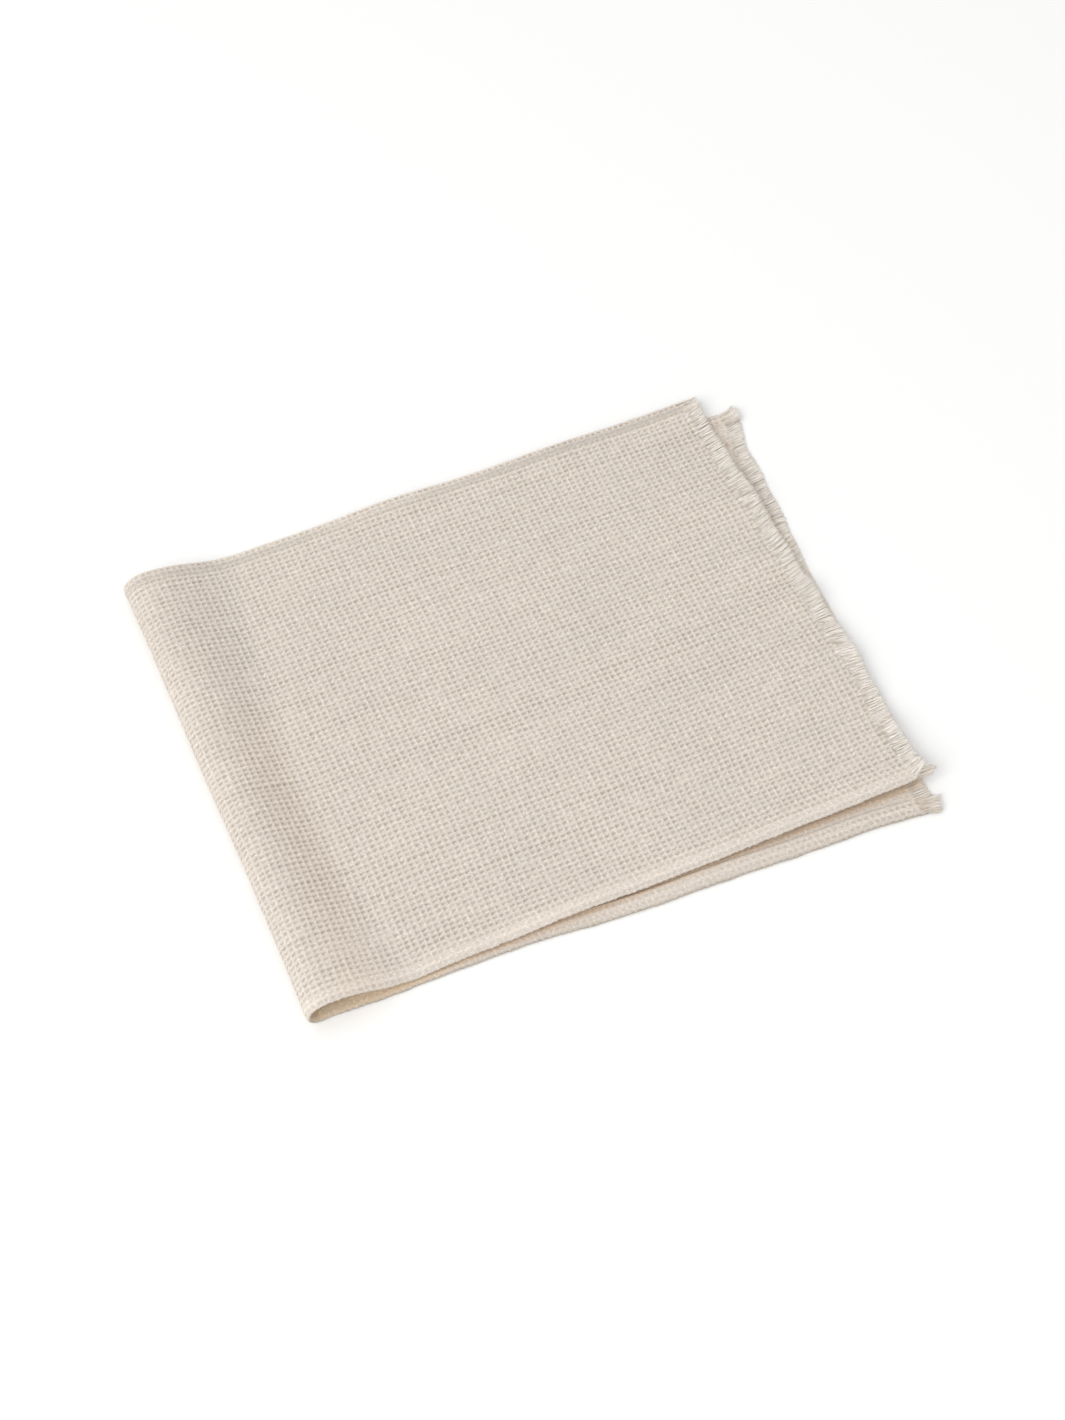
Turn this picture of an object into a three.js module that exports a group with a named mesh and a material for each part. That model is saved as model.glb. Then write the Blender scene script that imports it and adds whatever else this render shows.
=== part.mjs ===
// A waffle-weave cotton towel, folded once across its length and lying on a table.
//
// Millimetres, +Z up. X runs along the towel's length, from the fold to the free short ends.
// Y runs across its width. The towel lies on z = 0, and the origin is under the middle of its box.
//
// The cloth is one sheet. Its section in the X-Z plane starts at the lower layer's free end, runs
// flat along the table to the fold, turns up round a soft nose, and comes back over itself as the
// upper layer. Both long sides are turned to the inside and stitched as a hem. Each free short end
// has a short fringe of the cloth's own warp yarns, made as one comb along that edge.

import * as THREE from 'three';

// ---------------------------------------------------------------- driving sizes

const WIDTH = 340;            // across the cloth, hem to hem
const CLOTH = 1.6;            // thickness of one layer of waffle weave
const HEM_WIDTH = 9.4;        // turned allowance along both long sides
const HEM_TURN = 1.0;         // what the pressed allowance adds to the inside face
const HEM_STEP = 0.6;         // run over which the allowance's edge drops to the cloth
const NOSE_HEIGHT = 8;        // height of the fold's outermost line above the table
const NOSE_LOW_RUN = 8;       // how far the nose runs out over the table, underneath
const NOSE_HIGH_RUN = 15;     // how far the crest lies behind the nose, above

const FRINGE_LENGTH = 11.8;
const FRINGE_THICKNESS = 1.0;
const FRINGE_ROOT = 2.0;      // solid strip of woven-in yarn that carries the comb's teeth
const FRINGE_PITCH = 5.0;     // from tooth to tooth
const FRINGE_SLIT = 0.9;      // open width between two teeth
const FRINGE_UNEVEN = 0.9;    // how much the tips' length varies
const FRINGE_FAN = 2.6;       // the hem's ends spread their yarns outwards by this much
const FRINGE_FAN_WIDTH = 16;  // over this width at each corner
const PIECE_GAP = 0.3;        // between the cloth's end and the comb

// The fold, one row for each section across the width. v is the place across the cloth, x is how
// far the fold stands back from its foremost line, crest is the height of the fold's top, and
// reach is where the upper layer has come down again.
const FOLD_SECTIONS = [
  { v: -170, x: 0.2, crest: 20.0, reach: 74 },
  { v: -120, x: 0.9, crest: 18.5, reach: 64 },
  { v: -60, x: 1.2, crest: 17.5, reach: 58 },
  { v: 20, x: 0.4, crest: 18.0, reach: 60 },
  { v: 110, x: 0.6, crest: 19.0, reach: 70 },
  { v: 170, x: 0.0, crest: 19.5, reach: 77 },
];

// Height of the upper layer's top where it lies on the lower one, one row for each section.
const LYING_SECTIONS = [
  { v: -170, top: 6.8 },
  { v: -159, top: 7.5 },
  { v: -130, top: 6.5 },
  { v: 0, top: 5.8 },
  { v: 130, top: 6.4 },
  { v: 158, top: 6.8 },
  { v: 170, top: 5.7 },
];

// Where each layer's woven end lies, one row for each section across the width.
const UPPER_END = [
  { v: -170, x: 403.8 },
  { v: -152, x: 400.6 },
  { v: -130, x: 400.6 },
  { v: -96, x: 404.0 },
  { v: -60, x: 404.8 },
  { v: 0, x: 403.6 },
  { v: 60, x: 403.1 },
  { v: 110, x: 401.4 },
  { v: 170, x: 402.2 },
];
const LOWER_END = [
  { v: -170, x: 402.0 },
  { v: -158, x: 399.8 },
  { v: -80, x: 403.6 },
  { v: 26, x: 410.2 },
  { v: 84, x: 416.4 },
  { v: 128, x: 419.0 },
  { v: 170, x: 426.8 },
];

// Where each layer's long edges lie across the table, one row for each place along the length.
// The lower layer is turned a little under the upper one, so both its edges drift to the near side.
const UPPER_EDGES = [
  { x: 0, near: -168.2, far: 169.8 },
  { x: 40, near: -167.8, far: 170.2 },
  { x: 90, near: -166.2, far: 170.4 },
  { x: 430, near: -166.0, far: 170.8 },
];
const LOWER_EDGES = [
  { x: 0, near: -168.2, far: 169.8 },
  { x: 60, near: -169.7, far: 169.8 },
  { x: 115, near: -170.2, far: 169.2 },
  { x: 240, near: -178.2, far: 162.2 },
  { x: 350, near: -182.2, far: 157.8 },
  { x: 430, near: -187.4, far: 153.2 },
];

// Soft ridges and troughs of the upper layer. rise is their height at x, v, and they fade out
// over reachX along the towel and reachV across it.
const RIPPLES = [
  { x: 178, v: -170, rise: 2.4, reachX: 32, reachV: 22 },
  { x: 318, v: -170, rise: 2.2, reachX: 38, reachV: 26 },
  { x: 408, v: -170, rise: 4.4, reachX: 55, reachV: 38 },
  { x: 188, v: 170, rise: 3.4, reachX: 38, reachV: 24 },
  { x: 304, v: 170, rise: 1.6, reachX: 40, reachV: 20 },
  { x: 408, v: 170, rise: 1.4, reachX: 26, reachV: 22 },
  { x: 405, v: 74, rise: 2.6, reachX: 34, reachV: 20 },
  { x: 405, v: 42, rise: -0.8, reachX: 25, reachV: 9 },
  { x: 405, v: 22, rise: 1.2, reachX: 30, reachV: 10 },
  { x: 400, v: 4, rise: -1.2, reachX: 45, reachV: 9 },
  { x: 407, v: -12, rise: 1.8, reachX: 26, reachV: 10 },
  { x: 396, v: -64, rise: 1.6, reachX: 40, reachV: 24 },
  { x: 388, v: -106, rise: -1.3, reachX: 45, reachV: 9 },
  { x: 402, v: -130, rise: 1.8, reachX: 26, reachV: 14 },
];

// Stations of the section, and columns across the width, where the sheet has its points.
const LOWER_STATIONS = [1, 0.82, 0.62, 0.45, 0.3, 0.17, 0.08, 0.03];   // share of the lower layer
const NOSE_LOW_STEPS = 5;
const NOSE_HIGH_STEPS = 7;
const FALL_STEPS = 8;                                                  // from crest to reach
const UPPER_STATIONS = [0.1, 0.2, 0.3, 0.4, 0.5, 0.6, 0.68, 0.76, 0.83, 0.89, 0.95, 1];
const HEM_LINE = WIDTH / 2 - HEM_WIDTH;
const INNER_COLUMNS = [-146, -130, -117, -106, -94, -76, -55, -34, -12, 4, 22, 42, 58, 76, 96, 122, 146];
const COLUMNS = [
  -WIDTH / 2, -HEM_LINE - HEM_STEP, -HEM_LINE,
  ...INNER_COLUMNS,
  HEM_LINE, HEM_LINE + HEM_STEP, WIDTH / 2,
];

// ---------------------------------------------------------------- small tools

const smooth = (t) => t * t * (3 - 2 * t);
const clamp01 = (t) => Math.min(1, Math.max(0, t));

// Reads one column of a table of sections at a place between its rows, in soft steps.
function readTable(rows, key, place, column) {
  const last = rows.length - 1;
  if (place <= rows[0][key]) return rows[0][column];
  if (place >= rows[last][key]) return rows[last][column];
  const next = rows.findIndex((row) => row[key] >= place);
  const from = rows[next - 1];
  const to = rows[next];
  const share = (place - from[key]) / (to[key] - from[key]);
  return from[column] + (to[column] - from[column]) * smooth(share);
}

// Height that the ridges and troughs add to the upper layer.
function rippleHeight(x, v) {
  let rise = 0;
  for (const ripple of RIPPLES) {
    const along = (x - ripple.x) / ripple.reachX;
    const across = (v - ripple.v) / ripple.reachV;
    rise += ripple.rise * Math.exp(-(along * along + across * across));
  }
  return rise;
}

// ---------------------------------------------------------------- the cloth's middle surface

// The place across the table of the cloth's place v, from where its long edges lie at x.
function acrossAt(edges, x, v) {
  const near = readTable(edges, 'x', x, 'near');
  const far = readTable(edges, 'x', x, 'far');
  return near + (far - near) * (v / WIDTH + 0.5);
}

// Height of the upper layer's middle surface where it lies flat.
function lyingHeight(x, v) {
  return readTable(LYING_SECTIONS, 'v', v, 'top') - CLOTH / 2 + rippleHeight(x, v);
}

// One point of the lower layer: share 0 is at the nose's foot and 1 at the woven end.
function lowerPoint(share, v) {
  const foot = readTable(FOLD_SECTIONS, 'v', v, 'x') + NOSE_LOW_RUN;
  const end = readTable(LOWER_END, 'v', v, 'x');
  const x = foot + (end - foot) * share;
  return new THREE.Vector3(x, acrossAt(LOWER_EDGES, x, v), CLOTH / 2);
}

// The nose is two quarter ellipses that meet on the fold's outermost line.
function noseLowPoint(share, v) {
  const front = readTable(FOLD_SECTIONS, 'v', v, 'x');
  const angle = share * Math.PI / 2;
  const runX = NOSE_LOW_RUN - CLOTH / 2;
  const runZ = NOSE_HEIGHT - CLOTH / 2;
  const x = front + NOSE_LOW_RUN - runX * Math.sin(angle);
  const z = NOSE_HEIGHT - runZ * Math.cos(angle);
  return new THREE.Vector3(x, acrossAt(LOWER_EDGES, 0, v), z);
}

function noseHighPoint(share, v) {
  const front = readTable(FOLD_SECTIONS, 'v', v, 'x');
  const crest = readTable(FOLD_SECTIONS, 'v', v, 'crest');
  const angle = share * Math.PI / 2;
  const runX = NOSE_HIGH_RUN - CLOTH / 2;
  const runZ = crest - CLOTH / 2 - NOSE_HEIGHT;
  const x = front + NOSE_HIGH_RUN - runX * Math.cos(angle);
  const z = NOSE_HEIGHT + runZ * Math.sin(angle);
  return new THREE.Vector3(x, acrossAt(UPPER_EDGES, 0, v), z);
}

// The upper layer falls from the crest to where it lies, in one soft wave.
function upperPoint(x, v) {
  const crestX = readTable(FOLD_SECTIONS, 'v', v, 'x') + NOSE_HIGH_RUN;
  const crest = readTable(FOLD_SECTIONS, 'v', v, 'crest') - CLOTH / 2;
  const reach = readTable(FOLD_SECTIONS, 'v', v, 'reach');
  const fall = clamp01((x - crestX) / (reach - crestX));
  const lying = lyingHeight(x, v);
  const z = lying + (crest - lying) * (1 + Math.cos(Math.PI * fall)) / 2;
  return new THREE.Vector3(x, acrossAt(UPPER_EDGES, x - crestX, v), z);
}

// All points of the section at v, from the lower free end round the fold to the upper free end.
function sectionAt(v) {
  const points = LOWER_STATIONS.map((share) => lowerPoint(share, v));
  for (let i = 0; i < NOSE_LOW_STEPS; i++) points.push(noseLowPoint(i / NOSE_LOW_STEPS, v));
  for (let i = 0; i < NOSE_HIGH_STEPS; i++) points.push(noseHighPoint(i / NOSE_HIGH_STEPS, v));
  const crestX = readTable(FOLD_SECTIONS, 'v', v, 'x') + NOSE_HIGH_RUN;
  const reach = readTable(FOLD_SECTIONS, 'v', v, 'reach');
  const end = readTable(UPPER_END, 'v', v, 'x');
  for (let i = 0; i < FALL_STEPS; i++) {
    points.push(upperPoint(crestX + (reach - crestX) * i / FALL_STEPS, v));
  }
  points.push(upperPoint(reach, v));
  for (const share of UPPER_STATIONS) points.push(upperPoint(reach + (end - reach) * share, v));
  return points;
}

// ---------------------------------------------------------------- sheets made into closed solids

// Joins an outer and an inner skin, which share one layout of quads, into one closed body. Each
// quad edge that only one quad uses gets a wall from skin to skin.
function solidFromSkins(outer, inner, quads) {
  const count = outer.length;
  const positions = [...outer, ...inner].flatMap((point) => [point.x, point.y, point.z]);
  const index = [];
  const open = new Map();
  for (const [a, b, c, d] of quads) {
    index.push(a, b, c, a, c, d);
    index.push(count + a, count + c, count + b, count + a, count + d, count + c);
    for (const [from, to] of [[a, b], [b, c], [c, d], [d, a]]) {
      const twin = `${to}_${from}`;
      if (open.has(twin)) open.delete(twin);
      else open.set(`${from}_${to}`, [from, to]);
    }
  }
  for (const [from, to] of open.values()) {
    index.push(to, from, count + from, to, count + from, count + to);
  }
  const geometry = new THREE.BufferGeometry();
  geometry.setAttribute('position', new THREE.Float32BufferAttribute(positions, 3));
  geometry.setIndex(index);
  geometry.computeVertexNormals();
  return geometry;
}

// Outward direction of the cloth at one point of the grid, from its neighbours in the section
// and across the width.
function outwardAt(grid, row, column) {
  const rows = grid.length;
  const columns = grid[0].length;
  const before = grid[Math.max(0, row - 1)][column];
  const after = grid[Math.min(rows - 1, row + 1)][column];
  const near = grid[row][Math.max(0, column - 1)];
  const far = grid[row][Math.min(columns - 1, column + 1)];
  const along = after.clone().sub(before);
  const across = far.clone().sub(near);
  return along.cross(across).normalize();
}

// How thick the sheet is at v: one layer of cloth, and the turned allowance inside each hem.
function thicknessInside(v) {
  return Math.abs(v) > HEM_LINE + HEM_STEP / 2 ? CLOTH / 2 + HEM_TURN : CLOTH / 2;
}

function towelGeometry() {
  const sections = COLUMNS.map(sectionAt);
  const rows = sections[0].length;
  const grid = Array.from({ length: rows }, (_, row) => sections.map((section) => section[row]));
  const outer = [];
  const inner = [];
  const quads = [];
  for (let row = 0; row < rows; row++) {
    for (let column = 0; column < COLUMNS.length; column++) {
      const point = grid[row][column];
      const outward = outwardAt(grid, row, column);
      if (row < LOWER_STATIONS.length) outward.set(0, 0, -1);
      outer.push(point.clone().addScaledVector(outward, CLOTH / 2));
      inner.push(point.clone().addScaledVector(outward, -thicknessInside(COLUMNS[column])));
      if (row === 0 || column === 0) continue;
      const corner = row * COLUMNS.length + column;
      quads.push([corner - COLUMNS.length - 1, corner - 1, corner, corner - COLUMNS.length]);
    }
  }
  return solidFromSkins(outer, inner, quads);
}

// ---------------------------------------------------------------- fringes

// Length of one tooth's tip, uneven in a way that repeats nowhere along the edge.
function tipLength(tooth) {
  return FRINGE_LENGTH + FRINGE_UNEVEN * Math.sin(tooth * 1.9) * Math.cos(tooth * 0.7);
}

// How far a tooth's tip leans to the side: a little either way, and outwards at the corners.
function tipLean(tooth, v) {
  const corner = clamp01((Math.abs(v) - WIDTH / 2 + FRINGE_FAN_WIDTH) / FRINGE_FAN_WIDTH);
  return FRINGE_SLIT / 2 * Math.sin(tooth * 2.3) + Math.sign(v) * FRINGE_FAN * corner * corner;
}

// A comb along one free end. edgePoint(v, out) gives the place of the comb's middle surface at v
// across the cloth and out beyond its woven end.
function combGeometry(edgePoint) {
  const teeth = Math.floor(WIDTH / FRINGE_PITCH);
  const plan = [];
  const quads = [];
  const addPoint = (v, out) => plan.push(edgePoint(v, PIECE_GAP + out)) - 1;
  let lastRoot = null;
  let lastShoulder = null;
  for (let tooth = 0; tooth < teeth; tooth++) {
    const start = -WIDTH / 2 + tooth * FRINGE_PITCH;
    const sides = [start + FRINGE_SLIT / 2, start + FRINGE_PITCH - FRINGE_SLIT / 2];
    const roots = sides.map((v) => addPoint(v, 0));
    const shoulders = sides.map((v) => addPoint(v, FRINGE_ROOT));
    const tips = sides.map((v) => addPoint(v + tipLean(tooth, v), tipLength(tooth) - PIECE_GAP));
    if (lastRoot !== null) quads.push([lastRoot, lastShoulder, shoulders[0], roots[0]]);
    quads.push([roots[0], shoulders[0], shoulders[1], roots[1]]);
    quads.push([shoulders[0], tips[0], tips[1], shoulders[1]]);
    lastRoot = roots[1];
    lastShoulder = shoulders[1];
  }
  const up = new THREE.Vector3(0, 0, FRINGE_THICKNESS / 2);
  return solidFromSkins(
    plan.map((point) => point.clone().add(up)),
    plan.map((point) => point.clone().sub(up)),
    quads,
  );
}

// A place on the straight edge that the sheet has between two of its columns, or on from its
// last two.
function rimAt(endPoint, v) {
  const found = COLUMNS.findIndex((column) => column >= v);
  const next = found < 0 ? COLUMNS.length - 1 : Math.max(1, found);
  const share = (v - COLUMNS[next - 1]) / (COLUMNS[next] - COLUMNS[next - 1]);
  return endPoint(COLUMNS[next - 1]).lerp(endPoint(COLUMNS[next]), share);
}

// The upper fringe goes on level from the upper layer's end.
function upperFringePoint(v, out) {
  const rim = rimAt((column) => upperPoint(readTable(UPPER_END, 'v', column, 'x'), column), v);
  return new THREE.Vector3(rim.x + out, rim.y, rim.z);
}

// The lower fringe lies on the table.
function lowerFringePoint(v, out) {
  const rim = rimAt((column) => lowerPoint(1, column), v);
  return new THREE.Vector3(rim.x + out, rim.y, FRINGE_THICKNESS / 2);
}

// ---------------------------------------------------------------- materials and assembly

const waffleCotton = new THREE.MeshStandardMaterial({ color: '#dcd2c6', roughness: 0.92, metalness: 0 });
const fringeYarn = new THREE.MeshStandardMaterial({ color: '#e2d9cb', roughness: 0.9, metalness: 0 });

function piece(name, geometry, material) {
  const mesh = new THREE.Mesh(geometry, material);
  mesh.name = name;
  return mesh;
}

const layout = new THREE.Group();
layout.add(piece('towel', towelGeometry(), waffleCotton));
layout.add(piece('fringe_upper', combGeometry(upperFringePoint), fringeYarn));
layout.add(piece('fringe_lower', combGeometry(lowerFringePoint), fringeYarn));

// The origin goes under the middle of the box.
const box = new THREE.Box3().setFromObject(layout);
const middle = box.getCenter(new THREE.Vector3());
layout.position.set(-middle.x, -middle.y, -box.min.z);

const towel = new THREE.Group();
towel.add(layout);

export default towel;
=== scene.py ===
# %% [markdown]
# # A waffle towel, folded once
#
# The real object is one length of undyed cotton, woven in a small waffle. Both long sides are
# turned to the wrong side and stitched down as hems. Both short ends are left as a fringe of the
# cloth's own yarns. The towel lies folded over itself, so two layers meet in a soft round fold.
#
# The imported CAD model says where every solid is. This lesson loads it as a fixed frame and then
# replaces its three plain soft solids with detailed pieces in the same places: the cloth, the
# stitches and the two fringes. Blender works in metres. The sizes below are in millimetres,
# because a towel is easier to think about that way, and they are scaled in one place.

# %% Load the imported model
import math

import bmesh
import bpy
import numpy as np
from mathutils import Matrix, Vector


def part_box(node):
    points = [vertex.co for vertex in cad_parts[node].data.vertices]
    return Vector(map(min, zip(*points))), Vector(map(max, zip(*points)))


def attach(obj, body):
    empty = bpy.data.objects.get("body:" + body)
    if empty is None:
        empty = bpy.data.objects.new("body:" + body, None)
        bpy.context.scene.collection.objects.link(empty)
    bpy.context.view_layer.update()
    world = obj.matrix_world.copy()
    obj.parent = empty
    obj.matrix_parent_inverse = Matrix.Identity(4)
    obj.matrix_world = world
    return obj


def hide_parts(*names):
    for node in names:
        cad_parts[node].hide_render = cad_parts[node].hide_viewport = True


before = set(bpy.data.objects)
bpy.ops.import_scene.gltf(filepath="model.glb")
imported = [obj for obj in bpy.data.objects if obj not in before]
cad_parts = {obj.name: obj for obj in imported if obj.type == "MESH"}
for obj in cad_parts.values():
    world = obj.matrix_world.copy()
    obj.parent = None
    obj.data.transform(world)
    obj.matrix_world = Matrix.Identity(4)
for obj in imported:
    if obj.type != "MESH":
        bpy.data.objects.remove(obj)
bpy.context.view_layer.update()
MM = 0.001
towel_low, towel_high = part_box("towel")

# %% [markdown]
# ## Camera
#
# The towel is seen from above and from its front left, as on a catalogue page. A camera is a
# point, a direction and a lens. It could be placed by hand in the viewport, but an azimuth, an
# elevation and a distance from an aiming point are easier to read and to change.

# %% Camera
CAMERA_AZIMUTH = math.radians(-23.6)
CAMERA_ELEVATION = math.radians(56.5)
CAMERA_DISTANCE = 1.5238
CAMERA_LENS = 60.85
CAMERA_AIM = Vector((-0.00997, -0.01031, 0.0))


def place_facing(item, azimuth, elevation, distance, aim):
    """Stands a camera or a light at a distance from the point that it faces."""
    back = Vector((
        math.sin(azimuth) * math.cos(elevation),
        -math.cos(azimuth) * math.cos(elevation),
        math.sin(elevation),
    ))
    item.location = aim + back * distance
    item.rotation_mode = "QUATERNION"
    item.rotation_quaternion = (-back).to_track_quat("-Z", "Y")
    bpy.context.scene.collection.objects.link(item)


camera_data = bpy.data.cameras.new("camera")
camera_data.lens = CAMERA_LENS
camera_data.sensor_width = 36.0
camera_data.clip_start = 0.05
camera_data.clip_end = 20.0
camera = bpy.data.objects.new("camera", camera_data)
place_facing(camera, CAMERA_AZIMUTH, CAMERA_ELEVATION, CAMERA_DISTANCE, CAMERA_AIM)
bpy.context.scene.camera = camera
print("camera stands at", [round(part, 3) for part in camera.location])

# %% [markdown]
# ## How the cloth lies
#
# A folded towel is one back-and-forth section: the lower layer lies flat, the cloth turns up round
# a soft nose, falls from its crest and lies on itself. The section changes a little from one side
# of the cloth to the other. A cloth simulation could find such a shape, but it would land
# somewhere else each time a setting changed. So the lie is given by short tables, the same ones
# that the CAD solid was made from, and read with soft steps between their rows.

# %% Driving sizes, in millimetres
WIDTH = 340.0               # between the hemmed sides
HALF = WIDTH / 2
CLOTH = 1.6                 # thickness of the cloth
HEM_WIDTH = 9.4
HEM_TURN = 1.0              # how much the turned allowance adds to the thickness
NOSE_HEIGHT = 8.0           # height of the fold's foremost line
NOSE_LOW_RUN = 8.0          # from there to where the lower layer lies flat
NOSE_HIGH_RUN = 15.0        # from there to the crest

print("cloth", WIDTH, "mm wide,", CLOTH, "mm thick, with hems of", HEM_WIDTH, "mm")

# %% Tables of how the cloth lies, in millimetres
# v is the place across the cloth, x the place along it, counted from the fold.
FOLD = {
    "v": (-170, -120, -60, 20, 110, 170),
    "x": (0.2, 0.9, 1.2, 0.4, 0.6, 0.0),
    "crest": (20.0, 18.5, 17.5, 18.0, 19.0, 19.5),
    "reach": (74, 64, 58, 60, 70, 77),
}
LYING = {
    "v": (-170, -159, -130, 0, 130, 158, 170),
    "top": (6.8, 7.5, 6.5, 5.8, 6.4, 6.8, 5.7),
}
UPPER_END = {
    "v": (-170, -152, -130, -96, -60, 0, 60, 110, 170),
    "x": (403.8, 400.6, 400.6, 404.0, 404.8, 403.6, 403.1, 401.4, 402.2),
}
LOWER_END = {
    "v": (-170, -158, -80, 26, 84, 128, 170),
    "x": (402.0, 399.8, 403.6, 410.2, 416.4, 419.0, 426.8),
}
UPPER_EDGES = {
    "x": (0, 40, 90, 430),
    "near": (-168.2, -167.8, -166.2, -166.0),
    "far": (169.8, 170.2, 170.4, 170.8),
}
LOWER_EDGES = {
    "x": (0, 60, 115, 240, 350, 430),
    "near": (-168.2, -169.7, -170.2, -178.2, -182.2, -187.4),
    "far": (169.8, 169.8, 169.2, 162.2, 157.8, 153.2),
}
# Soft ridges and troughs of the upper layer: place along, place across, rise, and how far they
# fade out each way.
RIPPLES = (
    (178, -170, 2.4, 32, 22),
    (318, -170, 2.2, 38, 26),
    (408, -170, 4.4, 55, 38),
    (188, 170, 3.4, 38, 24),
    (304, 170, 1.6, 40, 20),
    (408, 170, 1.4, 26, 22),
    (405, 74, 2.6, 34, 20),
    (405, 42, -0.8, 25, 9),
    (405, 22, 1.2, 30, 10),
    (400, 4, -1.2, 45, 9),
    (407, -12, 1.8, 26, 10),
    (396, -64, 1.6, 40, 24),
    (388, -106, -1.3, 45, 9),
    (402, -130, 1.8, 26, 14),
)
print(len(RIPPLES), "ripples in the upper layer")


# %% Reading a table in soft steps
def read_table(table, key, place, column):
    """Values of one column at places between the rows of a table."""
    at = np.asarray(table[key], float)
    values = np.asarray(table[column], float)
    place = np.clip(np.asarray(place, float), at[0], at[-1])
    after = np.clip(np.searchsorted(at, place), 1, len(at) - 1)
    share = (place - at[after - 1]) / (at[after] - at[after - 1])
    share = share * share * (3 - 2 * share)
    return values[after - 1] + (values[after] - values[after - 1]) * share


def across_at(edges, x, v):
    """The place across the table of the cloth's place v, from where its long edges lie."""
    near = read_table(edges, "x", x, "near")
    far = read_table(edges, "x", x, "far")
    return near + (far - near) * (v / WIDTH + 0.5)


def lying_height(x, v):
    """Height of the upper layer's middle surface where it lies on the lower one."""
    rise = np.zeros(np.broadcast(x, v).shape)
    for place_x, place_v, height, fade_x, fade_v in RIPPLES:
        rise += height * np.exp(-((x - place_x) / fade_x) ** 2 - ((v - place_v) / fade_v) ** 2)
    return read_table(LYING, "v", v, "top") - CLOTH / 2 + rise


print("height at the middle:", round(float(lying_height(200.0, 0.0)), 2), "mm")


# %% [markdown]
# ### The two layers as lines of points
#
# Each layer is worked out as one line of points for every place across the cloth, from the fold's
# foremost line outwards. The nose is two quarter ellipses, and the upper layer comes down from the
# crest in half a cosine wave, which is how a soft cloth without a pressed crease looks.

# %% The two layers
NOSE_POINTS = 36
FALL_POINTS = 50
LYING_POINTS = 220


def upper_line(v):
    """The upper layer's middle surface, from the foremost line to the woven end."""
    v = np.asarray(v, float)[:, None]
    front = read_table(FOLD, "v", v, "x")
    crest = read_table(FOLD, "v", v, "crest") - CLOTH / 2
    reach = read_table(FOLD, "v", v, "reach")
    end = read_table(UPPER_END, "v", v, "x")
    crest_x = front + NOSE_HIGH_RUN
    turn = np.linspace(0, math.pi / 2, NOSE_POINTS, endpoint=False)[None, :]
    nose = np.stack([
        crest_x - (NOSE_HIGH_RUN - CLOTH / 2) * np.cos(turn),
        across_at(UPPER_EDGES, 0.0, v) + 0 * turn,
        NOSE_HEIGHT + (crest - NOSE_HEIGHT) * np.sin(turn),
    ], axis=2)
    fall_x = crest_x + (reach - crest_x) * np.linspace(0, 1, FALL_POINTS, endpoint=False)
    rest_x = reach + (end - reach) * np.linspace(0, 1, LYING_POINTS)
    x = np.concatenate([fall_x, rest_x], axis=1)
    lying = lying_height(x, v)
    fall = np.clip((x - crest_x) / (reach - crest_x), 0, 1)
    z = lying + (crest - lying) * (1 + np.cos(math.pi * fall)) / 2
    lying_part = np.stack([x, across_at(UPPER_EDGES, x - crest_x, v), z], axis=2)
    return np.concatenate([nose, lying_part], axis=1)


def lower_line(v):
    """The lower layer's middle surface, from the foremost line down and out to the woven end."""
    v = np.asarray(v, float)[:, None]
    front = read_table(FOLD, "v", v, "x")
    end = read_table(LOWER_END, "v", v, "x")
    foot = front + NOSE_LOW_RUN
    turn = np.linspace(math.pi / 2, 0, NOSE_POINTS, endpoint=False)[None, :]
    nose = np.stack([
        foot - (NOSE_LOW_RUN - CLOTH / 2) * np.sin(turn),
        across_at(LOWER_EDGES, 0.0, v) + 0 * turn,
        NOSE_HEIGHT - (NOSE_HEIGHT - CLOTH / 2) * np.cos(turn) + 0 * v,
    ], axis=2)
    x = foot + (end - foot) * np.linspace(0, 1, LYING_POINTS)
    flat = np.stack([x, across_at(LOWER_EDGES, x, v), np.full_like(x, CLOTH / 2)], axis=2)
    return np.concatenate([nose, flat], axis=1)


# %% Points spread along the layers
def spread_along(lines, shares):
    """Points at even shares of each line's own length: (shares, lines, 3)."""
    steps = np.linalg.norm(np.diff(lines, axis=1), axis=2)
    along = np.concatenate([np.zeros((len(lines), 1)), np.cumsum(steps, axis=1)], axis=1)
    placed = np.empty((len(shares), len(lines), 3))
    for column, (at, line) in enumerate(zip(along / along[:, -1:], lines)):
        for axis in range(3):
            placed[:, column, axis] = np.interp(shares, at, line[:, axis])
    return placed


middle_lengths = []
for layer_line in (lower_line, upper_line):
    line_steps = np.linalg.norm(np.diff(layer_line([0.0]), axis=1), axis=2)
    middle_lengths.append(round(float(line_steps.sum()), 1))
print("lower and upper layer, woven length in mm:", middle_lengths)

# %% [markdown]
# ### The weave as a ruler
#
# Waffle cloth is a grid of small square pits between ridges of longer floats. It makes a good
# ruler: a place on the cloth is given by its cell along and its cell across. Cell 0 is on the
# fold's foremost line, negative cells run along the lower layer and positive ones along the upper.

# %% Places and directions on the cloth
CELLS_EACH_LAYER = 96
CELLS_ACROSS = 92
PITCH_ACROSS = WIDTH / CELLS_ACROSS


def lay_cloth(cells, v):
    """Points of the middle surface at cells along the cloth and places v across it."""
    cells = np.asarray(cells, float)
    points = np.empty((len(cells), len(v), 3))
    upper = cells >= 0
    points[upper] = spread_along(upper_line(v), cells[upper] / CELLS_EACH_LAYER)
    points[~upper] = spread_along(lower_line(v), -cells[~upper] / CELLS_EACH_LAYER)
    return points


def unit(vectors):
    """The same directions with length 1."""
    return vectors / np.linalg.norm(vectors, axis=-1, keepdims=True)


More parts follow.
